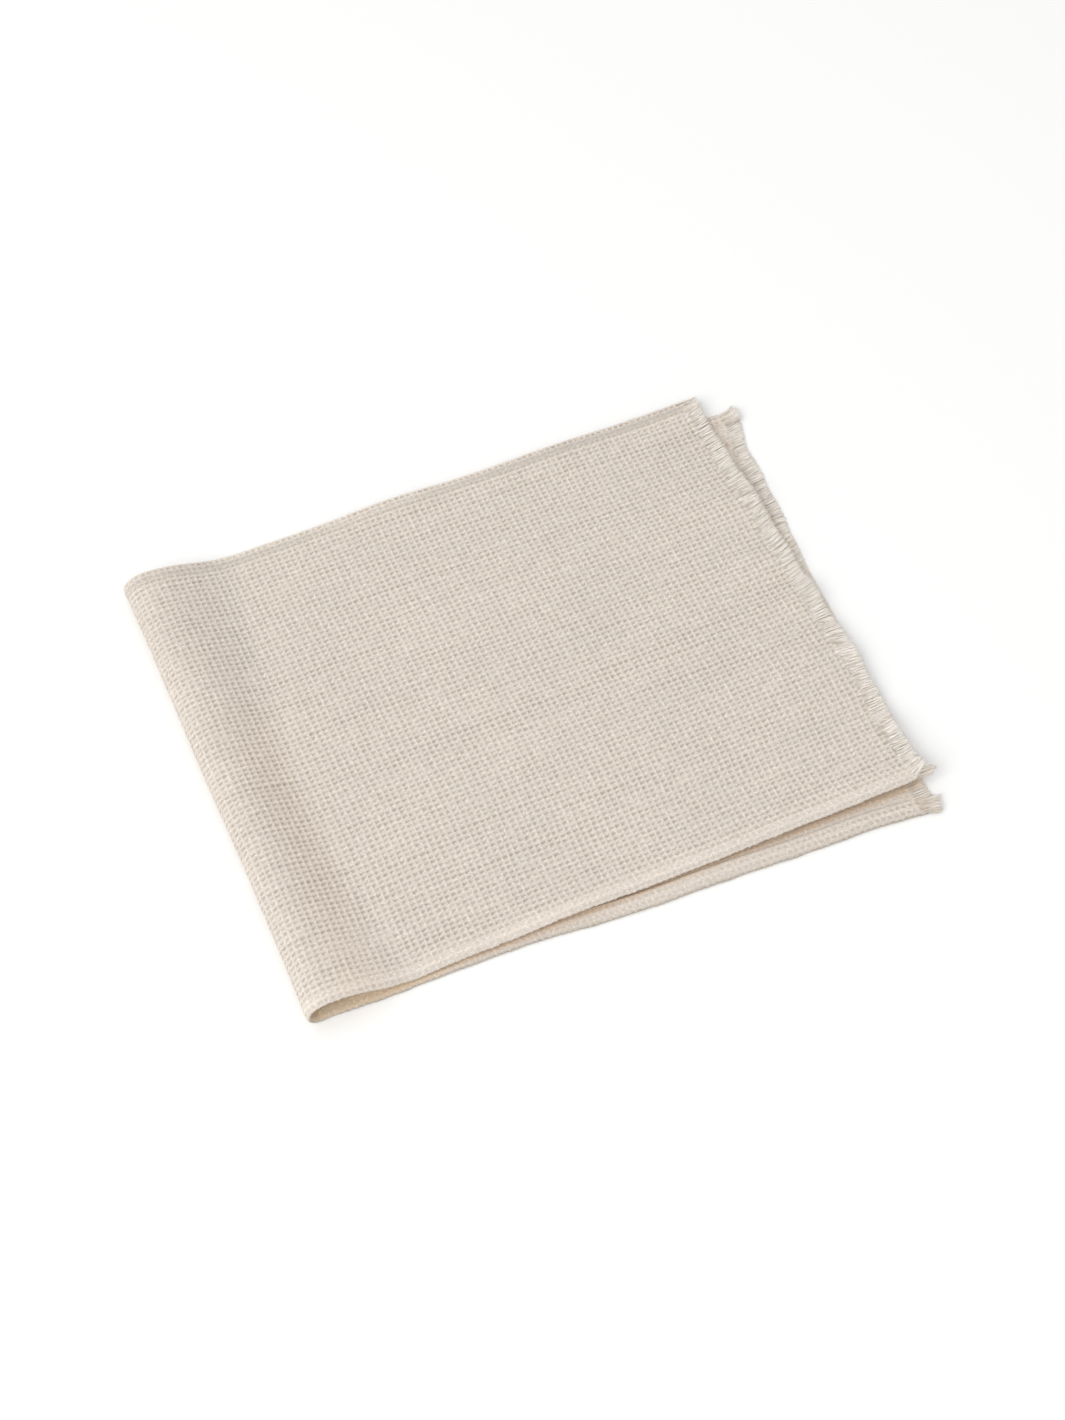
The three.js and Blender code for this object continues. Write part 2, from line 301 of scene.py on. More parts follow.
def cloth_frame(cells, v):
    """Points of the middle surface, with the directions along, across and outwards."""
    cells = np.asarray(cells, float)
    v = np.asarray(v, float)
    step = 0.4
    end = CELLS_EACH_LAYER
    ahead = lay_cloth(np.minimum(cells + step, end), v)
    behind = lay_cloth(np.maximum(cells - step, -end), v)
    along = unit(ahead - behind)
    across = unit(lay_cloth(cells, v + 1.0) - lay_cloth(cells, v - 1.0))
    return lay_cloth(cells, v), along, across, unit(np.cross(along, across))


pitch_along = round(middle_lengths[1] / CELLS_EACH_LAYER, 2)
print("weave pitch in mm:", pitch_along, "along and", round(PITCH_ACROSS, 2), "across")

# %% [markdown]
# ### Unevenness
#
# Hand-soft cotton is never a perfect grid. Lines of yarn wander by a fraction of a millimetre,
# pits are deeper or shallower, and a few rows are drawn tighter for some centimetres. Random
# numbers that are smoothed by a given reach give all of these, and a fixed seed gives the same
# towel each time.

# %% Smoothed random fields
random = np.random.default_rng(20)


def soft_field(rows, columns, reach_rows, reach_columns):
    """Random numbers with spread 1, smoothed over a reach in rows and in columns."""
    noise = random.standard_normal((rows, columns))
    wave_rows = np.fft.fftfreq(rows)[:, None] * reach_rows
    wave_columns = np.fft.rfftfreq(columns)[None, :] * reach_columns
    keep = np.exp(-2 * math.pi ** 2 * (wave_rows ** 2 + wave_columns ** 2))
    field = np.fft.irfft2(np.fft.rfft2(noise) * keep, s=noise.shape)
    return field / field.std()


# %% [markdown]
# ## The outer face
#
# The outer face is the cloth's right side: the top of the upper layer, the outside of the fold and
# the underside of the lower layer. Its grid has a point on each ridge and in each pit, so the
# waffle is real relief: three rows to a cell where it shows, two underneath, and two columns.
# Displacing a much finer grid with a texture would look the same from here and cost far more.

# %% Grid of the outer face
lower_cells = np.arange(-CELLS_EACH_LAYER, 0, 0.5)
upper_cells = np.arange(0, 3 * CELLS_EACH_LAYER + 1) / 3
outer_cells = np.concatenate([lower_cells, upper_cells])
outer_v = np.linspace(-HALF, HALF, 2 * CELLS_ACROSS + 1)
outer_rows = len(outer_cells)
outer_columns = len(outer_v)
pit_rows = np.abs(outer_cells - np.round(outer_cells)) > 0.1
pit_columns = np.arange(outer_columns) % 2 == 1
is_upper = outer_cells >= 0
print("outer face:", outer_rows, "rows by", outer_columns, "columns")

# %% How deep each pit is beside its neighbours
HEM_FIRST, HEM_SECOND, GROOVE = 1, 3, 5   # pit columns, counted from a rim
UNEVEN_PITS = 0.13          # how much the pits differ one by one
TIGHT_YARN = 0.32           # how much deeper they are along a tightly drawn yarn
SHALLOWEST, DEEPEST = 0.3, 1.3            # as shares of the usual depth
DRAWN_FLAT = 0.3            # how much flatter they are where the cloth is drawn out

evenness = 1 + UNEVEN_PITS * soft_field(outer_rows, outer_columns, 0.8, 0.3)
streaks = soft_field(outer_rows, outer_columns, 26.0, 0.35)
evenness += TIGHT_YARN * np.clip(streaks - 1.0, 0, 1.3)
# The last pits lie half open at the fringe, so they are shallower.
end_share = np.interp(CELLS_EACH_LAYER - np.abs(outer_cells), [0, 0.3, 1.0], [0.6, 0.95, 1.0])
evenness = np.clip(evenness, SHALLOWEST, DEEPEST) * end_share[:, None]
# The cloth is drawn out where its fall meets the near hem.
drawn_along = np.exp(-((outer_cells - 12) / 6) ** 2)
drawn_across = np.exp(-((outer_v + 145) / 22) ** 2)
evenness *= 1 - DRAWN_FLAT * (drawn_along[:, None] * drawn_across)
# The hems are pressed, so their pits are flatter, but less so near the fold and at the far rim.
near_fold = np.interp(np.abs(outer_cells), [12, 24], [1.0, 0.0])
evenness[:, HEM_FIRST] *= 0.25 + 0.35 * near_fold
evenness[:, HEM_SECOND] *= 0.35 + 0.25 * near_fold
evenness[:, -1 - HEM_FIRST] *= np.interp(outer_cells, [20, 50], [1.0, 1.4])
evenness[:, -1 - HEM_SECOND] *= np.interp(outer_cells, [50, 60], [0.55, 0.2])
print("pit depths, as shares:", round(float(evenness.min()), 2), "to", round(float(evenness.max()), 2))

# %% Relief of the outer face
PIT_DEPTH = 1.1             # from ridge to pit
DEEPEST_PIT = 1.3           # the cloth is 1.6 mm thick
CROSS_RIDGE_DROP = 0.1      # ridges across the cloth lie a little lower
ROUGHNESS = 0.05            # small unevenness of the whole face
RIM_DROP = 0.35             # the hem's rim is rounded
HEM_BULGE = 0.3             # the turned allowance fills the hem
NEAR_GROOVE_DEPTH = 0.248   # the stitches pull the cloth down, more so in the far hem
FAR_GROOVE_DEPTH = 0.496
GROOVE_PITS = 0.08          # the pits go on through the grooves, but hardly show

drop = np.minimum(PIT_DEPTH * evenness, DEEPEST_PIT)
drop *= pit_rows[:, None] & pit_columns[None, :]
drop[np.ix_(~pit_rows, pit_columns)] = CROSS_RIDGE_DROP
drop += ROUGHNESS * soft_field(outer_rows, outer_columns, 0.7, 0.7)
drop[:, GROOVE] = NEAR_GROOVE_DEPTH + GROOVE_PITS * pit_rows
drop[:, -1 - GROOVE] = FAR_GROOVE_DEPTH + GROOVE_PITS * pit_rows
drop[:, [0, -1]] = RIM_DROP
for column in range(1, GROOVE):
    bulge = HEM_BULGE * math.sin(math.pi * column / GROOVE)
    drop[:, column] -= bulge
    drop[:, -1 - column] -= bulge
print("deepest pit below a ridge in mm:", round(float(drop.max()), 2))

# %% Wandering yarns
WANDER_ACROSS = 0.22
WANDER_ALONG = 0.14
PIT_SLANT = 0.22            # the upper layer's pits all lean the same way

# The yarns are held straight at the rims and at the ends.
hold = np.clip((HALF - np.abs(outer_v)) / 14, 0, 1)[None, :]
hold = hold * np.clip((CELLS_EACH_LAYER - np.abs(outer_cells)) / 1.5, 0, 1)[:, None]
shift_across = WANDER_ACROSS * soft_field(outer_rows, outer_columns, 7.0, 0.8) * hold
shift_along = WANDER_ALONG * soft_field(outer_rows, outer_columns, 0.8, 5.0) * hold
part_of_cell = outer_cells - np.floor(outer_cells + 1e-6)
slant = np.where(pit_rows & is_upper, np.sign(part_of_cell - 0.5), 0.0)
shift_across += PIT_SLANT * slant[:, None] * pit_columns[None, :] * hold
print("yarns wander by up to", round(float(np.abs(shift_across).max()), 2), "mm across the cloth")

# %% Points of the outer face and of the rounded rims
outer_base, outer_along, outer_across, outer_out = cloth_frame(outer_cells, outer_v)
outer_points = outer_base + outer_out * (CLOTH / 2 - drop)[:, :, None]
outer_points += outer_across * shift_across[:, :, None] + outer_along * shift_along[:, :, None]
outer_points[:, :, 2] = np.maximum(outer_points[:, :, 2], 0.0)

RIM_REACH = 0.9             # how far the hem's rim stands out past its last column
RIM_BITE = 0.6              # the pits cut into the upper layer's rim by this much
LOWER_BITE = 1.7            # and into the lower layer's rim by this many times as much
RIM_LEVEL = -HEM_TURN / 2   # the rim's middle, seen from the cloth's middle surface
RIM_V = HALF + 1.3          # the rim's place across the cloth on the weave map


def rim_points(column, side):
    """One line along a long side, at the middle of the hem's rounded rim."""
    uneven = soft_field(outer_rows, 2, 1.5, 0)
    bite = RIM_BITE * np.where(is_upper, 1.0, LOWER_BITE)
    reach = RIM_REACH - bite * pit_rows * (0.7 + 0.3 * uneven[:, 0]) + 0.16 * uneven[:, 1]
    points = outer_base[:, column] + outer_across[:, column] * (side * reach)[:, None]
    return points + outer_out[:, column] * RIM_LEVEL


rim_near = rim_points(0, -1)
rim_far = rim_points(-1, 1)
print("points in the outer face:", outer_points.shape[0] * outer_points.shape[1])

# %% [markdown]
# ## The inner face
#
# The inner face is the wrong side. It shows only where the lower layer peeps out and inside the
# fold's loop. Its grid could match the outer one, but that would double the mesh for what hardly
# shows. So it is fine where the cloth peeps out and coarse elsewhere. Along both long sides lies
# the turned allowance, one millimetre proud, and it carries the right side's pits because it is
# the right side, folded over. Its inner edge is a small crisp step.

# %% Columns and rows of the inner face
# Places across the turned allowance, counted in from the rim. The last is past its step.
ALLOWANCE = (0.0, 1.11, 2.96, 4.80, 6.65, 8.50, 9.2, 9.75)
ALLOWANCE_PITS = (2.96, 6.65)
ALLOWANCE_PIT_DEPTH = 0.5 * PIT_DEPTH
WRONG_SIDE_RELIEF = 0.35 * PIT_DEPTH      # the wrong side shows the ridges as shallow hollows
NEAR_HEM_WIDER = 1.2        # the near hem was turned a little wider than the far one
EDGE = len(ALLOWANCE)
near_allowance = -HALF + NEAR_HEM_WIDER * np.array(ALLOWANCE)
far_allowance = HALF - np.array(ALLOWANCE)[::-1]
print("allowance in mm:", round(NEAR_HEM_WIDER * ALLOWANCE[-2], 1), "near and", ALLOWANCE[-2], "far")


# %% Zones of the inner face
def inner_zone(cells, v, woven):
    """A zone of the inner face. Only a finely spaced zone shows the weave's relief."""
    base, _, _, out = cloth_frame(cells, v)
    from_rim = np.minimum((v + HALF) / NEAR_HEM_WIDER, HALF - v)
    turned = from_rim < ALLOWANCE[-1] - 0.1
    depth = np.full((len(cells), len(v)), CLOTH / 2)
    depth[:, turned] += HEM_TURN
    depth[:, from_rim < 0.1] -= RIM_DROP
    half_row = np.abs(cells - np.round(cells)) > 0.1
    if woven:
        for pit in ALLOWANCE_PITS:
            depth[np.ix_(half_row, np.abs(from_rim - pit) < 0.1)] -= ALLOWANCE_PIT_DEPTH
        across_cells = (v + HALF) / PITCH_ACROSS
        on_ridge = np.abs(across_cells - np.round(across_cells)) < 0.02
        depth[np.ix_(~half_row, on_ridge & ~turned)] -= WRONG_SIDE_RELIEF
    return {"cells": cells, "v": v, "turned": turned, "points": base - out * depth[:, :, None]}


end_zone = inner_zone(
    np.arange(-CELLS_EACH_LAYER, -90.9, 0.5),
    np.concatenate([near_allowance, outer_v[7:-6], far_allowance]), True)
near_zone = inner_zone(
    np.arange(-90.5, 6.1, 0.5),
    np.concatenate([near_allowance, outer_v[7:13]]), True)
hidden_zone = inner_zone(
    np.concatenate([[-90.5], np.arange(-88, -6, 2), np.arange(-6, 6.1, 0.5)]),
    np.concatenate([[-138, -105, -60, 0, 60, 110, 142, 156.5], far_allowance]), False)
upper_zone = inner_zone(
    np.arange(7.5, CELLS_EACH_LAYER + 0.1, 1.5),
    np.concatenate([near_allowance, np.linspace(-154, 156, 43), far_allowance]), False)
INNER_ZONES = (end_zone, near_zone, hidden_zone, upper_zone)
print("inner face:", [zone["points"].shape[:2] for zone in INNER_ZONES])


# %% What lies hidden
def hidden_share(points):
    """How deep each point lies between the two layers, from 0 in the open to 1.

    Light gets in along the near edge, further by the loop, and past the upper layer's end.
    """
    x = points[..., 0]
    y = points[..., 1]
    near_edge = across_at(UPPER_EDGES, x - NOSE_HIGH_RUN, -HALF)
    beyond = x - read_table(UPPER_END, "v", y, "x")
    fade = np.interp(x, [40, 90], [16, 3.5])
    share = np.clip((y - near_edge + fade) / fade, 0, 1)
    return share * share * (3 - 2 * share) * np.interp(beyond, [2, 10, 15, 21], [1, 0.45, 0.22, 0])


# %% [markdown]
# ## One closed sheet
#
# The faces, the rims and the ends are joined into one closed mesh, because a sheet of cloth has a
# thickness and an inside. A Solidify modifier could give it that thickness, but not its turned
# hems or a coarser inner face. Where two lines of points with different spacings meet, a zip of
# triangles joins them: it always steps on along the line that lags behind.

# %% Collecting points and faces
sheet_points = []
sheet_places = []          # cell along and place across, for every point
sheet_faces = []
sheet_sides = []           # which side of the cloth each face belongs to
RIGHT_SIDE, TURNED, WRONG_SIDE = 0, 1, 2


def add_points(points, cells, v):
    """Adds a block of points and gives their numbers in the same layout."""
    start = sum(len(block) for block in sheet_points)
    sheet_points.append(points.reshape(-1, 3))
    cells, v = np.broadcast_arrays(cells, v)
    sheet_places.append(np.stack([cells.ravel(), v.ravel()], axis=1))
    return start + np.arange(points.size // 3).reshape(points.shape[:-1])


def add_grid(numbers, side):
    """Adds the faces of a grid. The side is one for all of them, or one for each column."""
    corners = (numbers[:-1, :-1], numbers[1:, :-1], numbers[1:, 1:], numbers[:-1, 1:])
    faces = np.stack(corners, axis=2)
    sheet_faces.extend(faces.reshape(-1, 4).tolist())
    sheet_sides.extend(np.broadcast_to(side, faces.shape[:2]).ravel().tolist())


def add_zip(line, at_line, other, at_other, side):
    """Joins two lines of points by triangles, in the order of their places."""
    i = j = 0
    while i < len(line) - 1 or j < len(other) - 1:
        step_line = j == len(other) - 1
        if not step_line and i < len(line) - 1:
            step_line = at_line[i + 1] + at_line[i] <= at_other[j + 1] + at_other[j]
        if step_line:
            sheet_faces.append([int(line[i]), int(other[j]), int(line[i + 1])])
            i += 1
        else:
            sheet_faces.append([int(line[i]), int(other[j]), int(other[j + 1])])
            j += 1
        sheet_sides.append(side)


# %% Faces of the outer side, the rims and the inner zones
outer_numbers = add_points(outer_points, outer_cells[:, None], outer_v[None, :])
near_numbers = add_points(rim_near, outer_cells, -RIM_V)
far_numbers = add_points(rim_far, outer_cells, RIM_V)
add_grid(outer_numbers, RIGHT_SIDE)
add_grid(np.stack([near_numbers, outer_numbers[:, 0]], axis=1), RIGHT_SIDE)
add_grid(np.stack([outer_numbers[:, -1], far_numbers], axis=1), RIGHT_SIDE)
for zone in INNER_ZONES:
    zone["numbers"] = add_points(zone["points"], zone["cells"][:, None], zone["v"][None, :])
    on_turn = zone["turned"][:-1] | zone["turned"][1:]
    add_grid(zone["numbers"], np.where(on_turn, TURNED, WRONG_SIDE))

# %% Joining the faces
# The near and the hidden zone lie side by side, between the end zone and the upper one.
add_zip(
    near_zone["numbers"][:, -1], near_zone["cells"],
    hidden_zone["numbers"][:, 0], hidden_zone["cells"], WRONG_SIDE)
inner_part = slice(EDGE - 1, 1 - EDGE)
for zone, row, other_row in ((end_zone, -1, 0), (upper_zone, 0, -1)):
    line = zone["numbers"][row]
    other = np.concatenate([near_zone["numbers"][other_row], hidden_zone["numbers"][other_row]])
    other_v = np.concatenate([near_zone["v"], hidden_zone["v"]])
    add_grid(np.stack([line[:EDGE], other[:EDGE]]), TURNED)
    add_grid(np.stack([line[-EDGE:], other[-EDGE:]]), TURNED)
    add_zip(line[inner_part], zone["v"][inner_part], other[inner_part], other_v[inner_part], WRONG_SIDE)

for rim_numbers, column, middle_zone in ((near_numbers, 0, near_zone), (far_numbers, -1, hidden_zone)):
    zones = (end_zone, middle_zone, upper_zone)
    line = np.concatenate([zone["numbers"][:, column] for zone in zones])
    line_cells = np.concatenate([zone["cells"] for zone in zones])
    add_zip(rim_numbers, outer_cells, line, line_cells, TURNED)

# The two ends, where the fringes leave the cloth.
rim_v = np.concatenate([[-RIM_V], outer_v, [RIM_V]])
for row, zone in ((0, end_zone), (-1, upper_zone)):
    outer_row = np.concatenate([[near_numbers[row]], outer_numbers[row], [far_numbers[row]]])
    add_zip(outer_row, rim_v, zone["numbers"][row], zone["v"], RIGHT_SIDE)
print("faces in the sheet:", len(sheet_faces))

# %% Making the cloth's mesh
# The towel frame starts at the fold and at the middle of the cloth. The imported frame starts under
# the middle of the part's box, so everything moves by one offset that the box gives.
far_reach = float(upper_line([HALF])[0, :, 1].max())
offset = np.array([towel_low.x / MM, towel_high.y / MM - far_reach, 0.0])
print("the towel's far side lies at", round(far_reach, 2), "mm")


def to_frame(points):
    """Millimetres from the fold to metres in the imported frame."""
    return (np.asarray(points) + offset) * MM


cloth_mesh = bpy.data.meshes.new("waffle_cloth")
cloth_mesh.from_pydata(to_frame(np.concatenate(sheet_points)).tolist(), [], sheet_faces)
side_layer = cloth_mesh.attributes.new("cloth_side", "INT", "FACE")
side_layer.data.foreach_set("value", np.array(sheet_sides, np.int32))

working = bmesh.new()
working.from_mesh(cloth_mesh)
bmesh.ops.recalc_face_normals(working, faces=working.faces)
open_edges = sum(1 for edge in working.edges if not edge.is_manifold)
if working.calc_volume(signed=True) < 0:
    bmesh.ops.reverse_faces(working, faces=working.faces)
cloth_litres = working.calc_volume(signed=True) * 1000
working.to_mesh(cloth_mesh)
working.free()
cloth_mesh.calc_loop_triangles()
print("open edges:", open_edges, " litres of cloth:", round(cloth_litres, 3))
print("triangles in the cloth:", len(cloth_mesh.loop_triangles))

# %% [markdown]
# ### Coordinates for the material
#
# A material needs to know where it is on the weave. The weave's own coordinates, in cells, are
# stored as a UV map, so that the drawn pits fall into the modelled ones. A second UV map lays the
# two faces of the cloth side by side without overlap, for when the colours are baked to an image.
# Each point also stores how deep its pit is, which also sets its painted pit shade, how much painted
# shade lies in a stitched groove or along a turned step there, and a tint of painted light and
# shade: warmer where light bounces between two layers of cream cotton, lighter or darker on the
# rims and hems.


# %% Two maps of the cloth
def add_map(mesh, name, values):
    """Adds a UV map, with one pair of values for each corner of each face."""
    layer = mesh.uv_layers.new(name=name)
    layer.uv.foreach_set("vector", values.astype(np.float32).ravel())


places = np.concatenate(sheet_places)
from_near = places[:, 1] + HALF
from_far = HALF - places[:, 1]
along_cells = places[:, 0] + CELLS_EACH_LAYER
across_cells = from_near / PITCH_ACROSS
# The allowance is the right side folded over, so its weave is counted back from the rim.
turned_near = -0.7 - from_near / NEAR_HEM_WIDER / PITCH_ACROSS
turned_far = CELLS_ACROSS + 0.7 + from_far / PITCH_ACROSS
turned_cells = np.where(from_near < from_far, turned_near, turned_far)
on_rim = np.abs(places[:, 1]) > HALF + 1
turned_cells = np.where(on_rim, across_cells, turned_cells)
weave_by_side = np.stack([
    np.stack([along_cells, across_cells], axis=1),
    np.stack([along_cells, turned_cells], axis=1),
    np.stack([along_cells + 0.5, across_cells + 0.5], axis=1),
])
bake_along = 0.01 + 0.98 * along_cells / (2 * CELLS_EACH_LAYER)
bake_across = 0.46 * (places[:, 1] + HALF + 2) / (WIDTH + 4)
outer_bake = np.stack([bake_along, 0.02 + bake_across], axis=1)
inner_bake = np.stack([bake_along, 0.52 + bake_across], axis=1)
bake_by_side = np.stack([outer_bake, inner_bake, inner_bake])

corner_points = np.empty(len(cloth_mesh.loops), np.int32)
cloth_mesh.loops.foreach_get("vertex_index", corner_points)
face_sides = np.empty(len(cloth_mesh.polygons), np.int32)
cloth_mesh.attributes["cloth_side"].data.foreach_get("value", face_sides)
face_corners = np.empty(len(cloth_mesh.polygons), np.int32)
cloth_mesh.polygons.foreach_get("loop_total", face_corners)
corner_sides = np.repeat(face_sides, face_corners)
for name, by_side in (("OFBake", bake_by_side), ("weave", weave_by_side)):
    add_map(cloth_mesh, name, by_side[corner_sides, corner_points])
print("maps on", len(corner_points), "corners of faces")

# %% Painted light and shade, as factors of the cotton's own colour
LOOP_TINT = np.array([1.15, 1.06, 0.91])      # light that has gone round inside the fold
# Painted warm shade between the layers, where little light gets in.
GAP_SHADE_TINT = np.array([1.02, 0.91, 0.785])      # between the layers
# Painted shade on the lower layer's rim, which curves down close to the table.
LOWER_RIM_SHADE = np.array([0.8, 0.79, 0.77])        # the lower rim, close to the table
FALL_TINT = np.array([1.045, 1.02, 1.005])    # the fall behind the crest faces the lit cloth

# The far hem's band beside its stitches is painted darker, partly for its pressed, flatter ridges
# and partly as painted shade where it slopes away from the light. Its rim is painted lighter, as
# painted light on its rounded edge, and the near hem's band lighter and its rim darker, as painted
# light and shade. A shade is given at some cells along the upper layer.
FAR_BAND_SHADE = {"cell": (12, 32, 37, 47, 53, 60, 96), "shade": (0.86, 0.86, 0.96, 0.96, 0.88, 0.81, 0.78)}
FAR_RIM_LIGHT = {"cell": (12, 20, 50, 74, 96), "shade": (1.08, 1.18, 1.2, 1.14, 1.08)}
NEAR_BAND_LIGHT = {"cell": (12, 60, 70, 96), "shade": (1.08, 1.08, 1.03, 1.03)}
NEAR_RIM_SHADE = {"cell": (12, 40, 50, 96), "shade": (1.0, 1.0, 0.93, 0.93)}
band, rim, near_band, near_rim = (
    np.interp(outer_cells, table["cell"], table["shade"])
    for table in (FAR_BAND_SHADE, FAR_RIM_LIGHT, NEAR_BAND_LIGHT, NEAR_RIM_SHADE))
# Columns of points are counted from the near rim, and negative ones from the far rim.
HEM_SHADES = (
    (-5, band), (-4, band), (-3, (band + rim) / 2), (-2, rim), (-1, rim),
    (1, near_rim), (2, near_band), (3, near_band), (5, near_band),
)
# Painted shade in the stitched grooves and along the allowance's turned step.
NEAR_SEAM, FAR_SEAM, TURN_STEP = 0.55, 0.8, 0.7     # how dark the lines of the hems are drawn
PLAIN_PITS = 0.9                                    # shade of the pits on the rims
WRONG_SIDE_PITS = 0.35
print("shades on", len(HEM_SHADES), "columns of the two hems")


# %% Values stored on the cloth's points
def store_on_points(mesh, name, kind, values):
    """Stores a number or a colour at every point of a mesh, for its material to read."""
    stored = mesh.attributes.new(name, kind, "POINT")
    key = "color" if kind == "FLOAT_COLOR" else "value"
    stored.data.foreach_set(key, values.astype(np.float32).ravel())


def add_piece(name, mesh):
    """Puts a smoothly shaded mesh into the scene as a piece."""
    mesh.polygons.foreach_set("use_smooth", [True] * len(mesh.polygons))
    piece = bpy.data.objects.new(name, mesh)
    bpy.context.scene.collection.objects.link(piece)
    return piece


point_count = len(cloth_mesh.vertices)
pit_shade = np.full(point_count, PLAIN_PITS)
pit_shade[outer_numbers] = evenness
# Painted shade in the stitched grooves, drawn in the material.
painted_line_shade = np.zeros(point_count)
painted_line_shade[outer_numbers[:, GROOVE]] = NEAR_SEAM
painted_line_shade[outer_numbers[:, -1 - GROOVE]] = FAR_SEAM
tint = np.ones((point_count, 4))
# Painted shade on the lower layer's near rim.
tint[near_numbers[outer_cells < 0], :3] = LOWER_RIM_SHADE
fall_share = np.interp(outer_cells, [5, 7.5, 12.5, 14.5], [0, 1, 1, 0])[:, None]
fall_share = fall_share * np.interp(outer_v, [20, 60], [1.0, 0.3])
tint[outer_numbers, :3] = 1 + (FALL_TINT - 1) * fall_share[:, :, None]
# Painted shade and light on the hems, and painted light on the far rim.
for column, shade in HEM_SHADES:
    tint[outer_numbers[is_upper, column], :3] *= shade[is_upper, None]
tint[far_numbers[is_upper], :3] = rim[is_upper, None]
for zone in INNER_ZONES:
    numbers = zone["numbers"]
    x = zone["points"][..., 0]
    # Painted shade along the allowance's turned step.
    step_columns = np.flatnonzero(np.diff(zone["turned"].astype(int))) + (zone["v"][0] < -160)
    painted_line_shade[numbers[:, step_columns]] = TURN_STEP
    turned_pits = np.interp(x, [250, 370], [0.45, PLAIN_PITS])
    pit_shade[numbers] = np.where(zone["turned"], turned_pits, WRONG_SIDE_PITS)
    # Painted warm shade between the layers, which turns into painted light inside the loop.
    loop_share = np.interp(x, [60, 110], [1, 0])[..., None]
    full_tint = GAP_SHADE_TINT + (LOOP_TINT - GAP_SHADE_TINT) * loop_share
    tint[numbers, :3] = 1 + (full_tint - 1) * hidden_share(zone["points"])[..., None]
    # Painted shade on the lower layer's near rim, on its inner face too.
    if zone["v"][0] == -HALF and zone is not upper_zone:
        rim_share = np.interp(zone["v"], [-HALF, -HALF + 2.5], [1, 0])[:, None]
        tint[numbers, :3] *= 1 + (LOWER_RIM_SHADE - 1) * rim_share * (zone["cells"] < 0)[:, None, None]
store_on_points(cloth_mesh, "pit_shade", "FLOAT", pit_shade)
store_on_points(cloth_mesh, "painted_line_shade", "FLOAT", painted_line_shade)
store_on_points(cloth_mesh, "tint", "FLOAT_COLOR", tint)
cloth = add_piece("waffle_cloth", cloth_mesh)
print("stored values on", point_count, "points")

# %% [markdown]
# ## Yarns
#
# The fringe is about 2,500 fine yarns on each end. Hair particles or curves could make them, but
# both have to be turned into a mesh in the end. So thin closed tubes are made straight from lines
# of points, four sides to a yarn, which is enough for a yarn of less than half a millimetre. Two
# maps go with them: one counts round and along each yarn for the twist, and one lays the yarns
# side by side. Each point also has a tone, which makes its yarn lighter or darker: partly at
# random, and partly as painted shade and painted light.

# %% Meshes of thin tubes
TABLE_GAP = 0.02            # no yarn goes through the table


def ring_angles(sides):
    """Directions round a tube, in radians."""
    return 2 * math.pi * (np.arange(sides) + 0.5) / sides


def tube_mesh(name, paths, radii, sides):
    """Closed tubes. paths is (yarns, points, 3) in mm, radii (yarns, points)."""
    yarns, points = paths.shape[:2]
    forward = unit(np.gradient(paths, axis=1))
    aside = unit(np.cross(forward, np.array([0.03, 0.02, 1.0])))
    upward = np.cross(aside, forward)
    angles = ring_angles(sides)[:, None]
    ring = aside[:, :, None] * np.cos(angles) + upward[:, :, None] * np.sin(angles)
    tube = paths[:, :, None] + ring * radii[:, :, None, None]
    tube[..., 2] = np.maximum(tube[..., 2], TABLE_GAP)
    numbers = np.arange(tube.size // 3).reshape(yarns, points, sides)
    turned_on = np.roll(numbers, -1, axis=2)
    skin = (numbers[:, :-1], numbers[:, 1:], turned_on[:, 1:], turned_on[:, :-1])
    faces = np.stack(skin, axis=3).reshape(-1, 4).tolist()
    faces += numbers[:, 0].tolist()
    faces += numbers[:, -1, ::-1].tolist()
    mesh = bpy.data.meshes.new(name)
    mesh.from_pydata(to_frame(tube.reshape(-1, 3)).tolist(), [], faces)
    return mesh


# %% Maps of thin tubes
def tube_maps(paths, sides):
    """The two maps, with the tubes' skins first and then their first and last caps."""
    yarns, points = paths.shape[:2]
    steps = np.linalg.norm(np.diff(paths, axis=1), axis=2)
    along = np.concatenate([np.zeros((yarns, 1)), np.cumsum(steps, axis=1)], axis=1)
    shape = (yarns, points - 1, sides)
    low = np.broadcast_to(along[:, :-1, None], shape)
    high = np.broadcast_to(along[:, 1:, None], shape)
    around = np.broadcast_to(np.arange(sides) / sides, shape)
    around_next = around + 1 / sides
    skin = np.stack([around, low, around, high, around_next, high, around_next, low], axis=3)
    skin = skin.reshape(*shape, 4, 2)
    caps = np.zeros((2 * yarns * sides, 2))
    caps[yarns * sides:, 1] = np.repeat(along[:, -1], sides)
    # Each yarn has its own square patch: its skin fills most of it, and its caps lie above that.
    grid = math.ceil(math.sqrt(yarns))
    patch = np.stack([np.arange(yarns) % grid, np.arange(yarns) // grid], axis=1)
    share = skin / (1.0, along.max())
    skin_bake = (patch[:, None, None, None] + 0.03 + share * (0.94, 0.82)) / grid
    angles = ring_angles(sides)
    corner = 0.9 + 0.04 * np.stack([np.cos(angles), np.sin(angles)], axis=1)
    caps_bake = (patch[:, None] + corner * (0.9, 1.0)) / grid
    caps_bake = np.concatenate([caps_bake, caps_bake[:, ::-1] - (0.3 / grid, 0.0)])
    bake = np.concatenate([skin_bake.reshape(-1, 2), caps_bake.reshape(-1, 2)])
    return bake, np.concatenate([skin.reshape(-1, 2), caps])


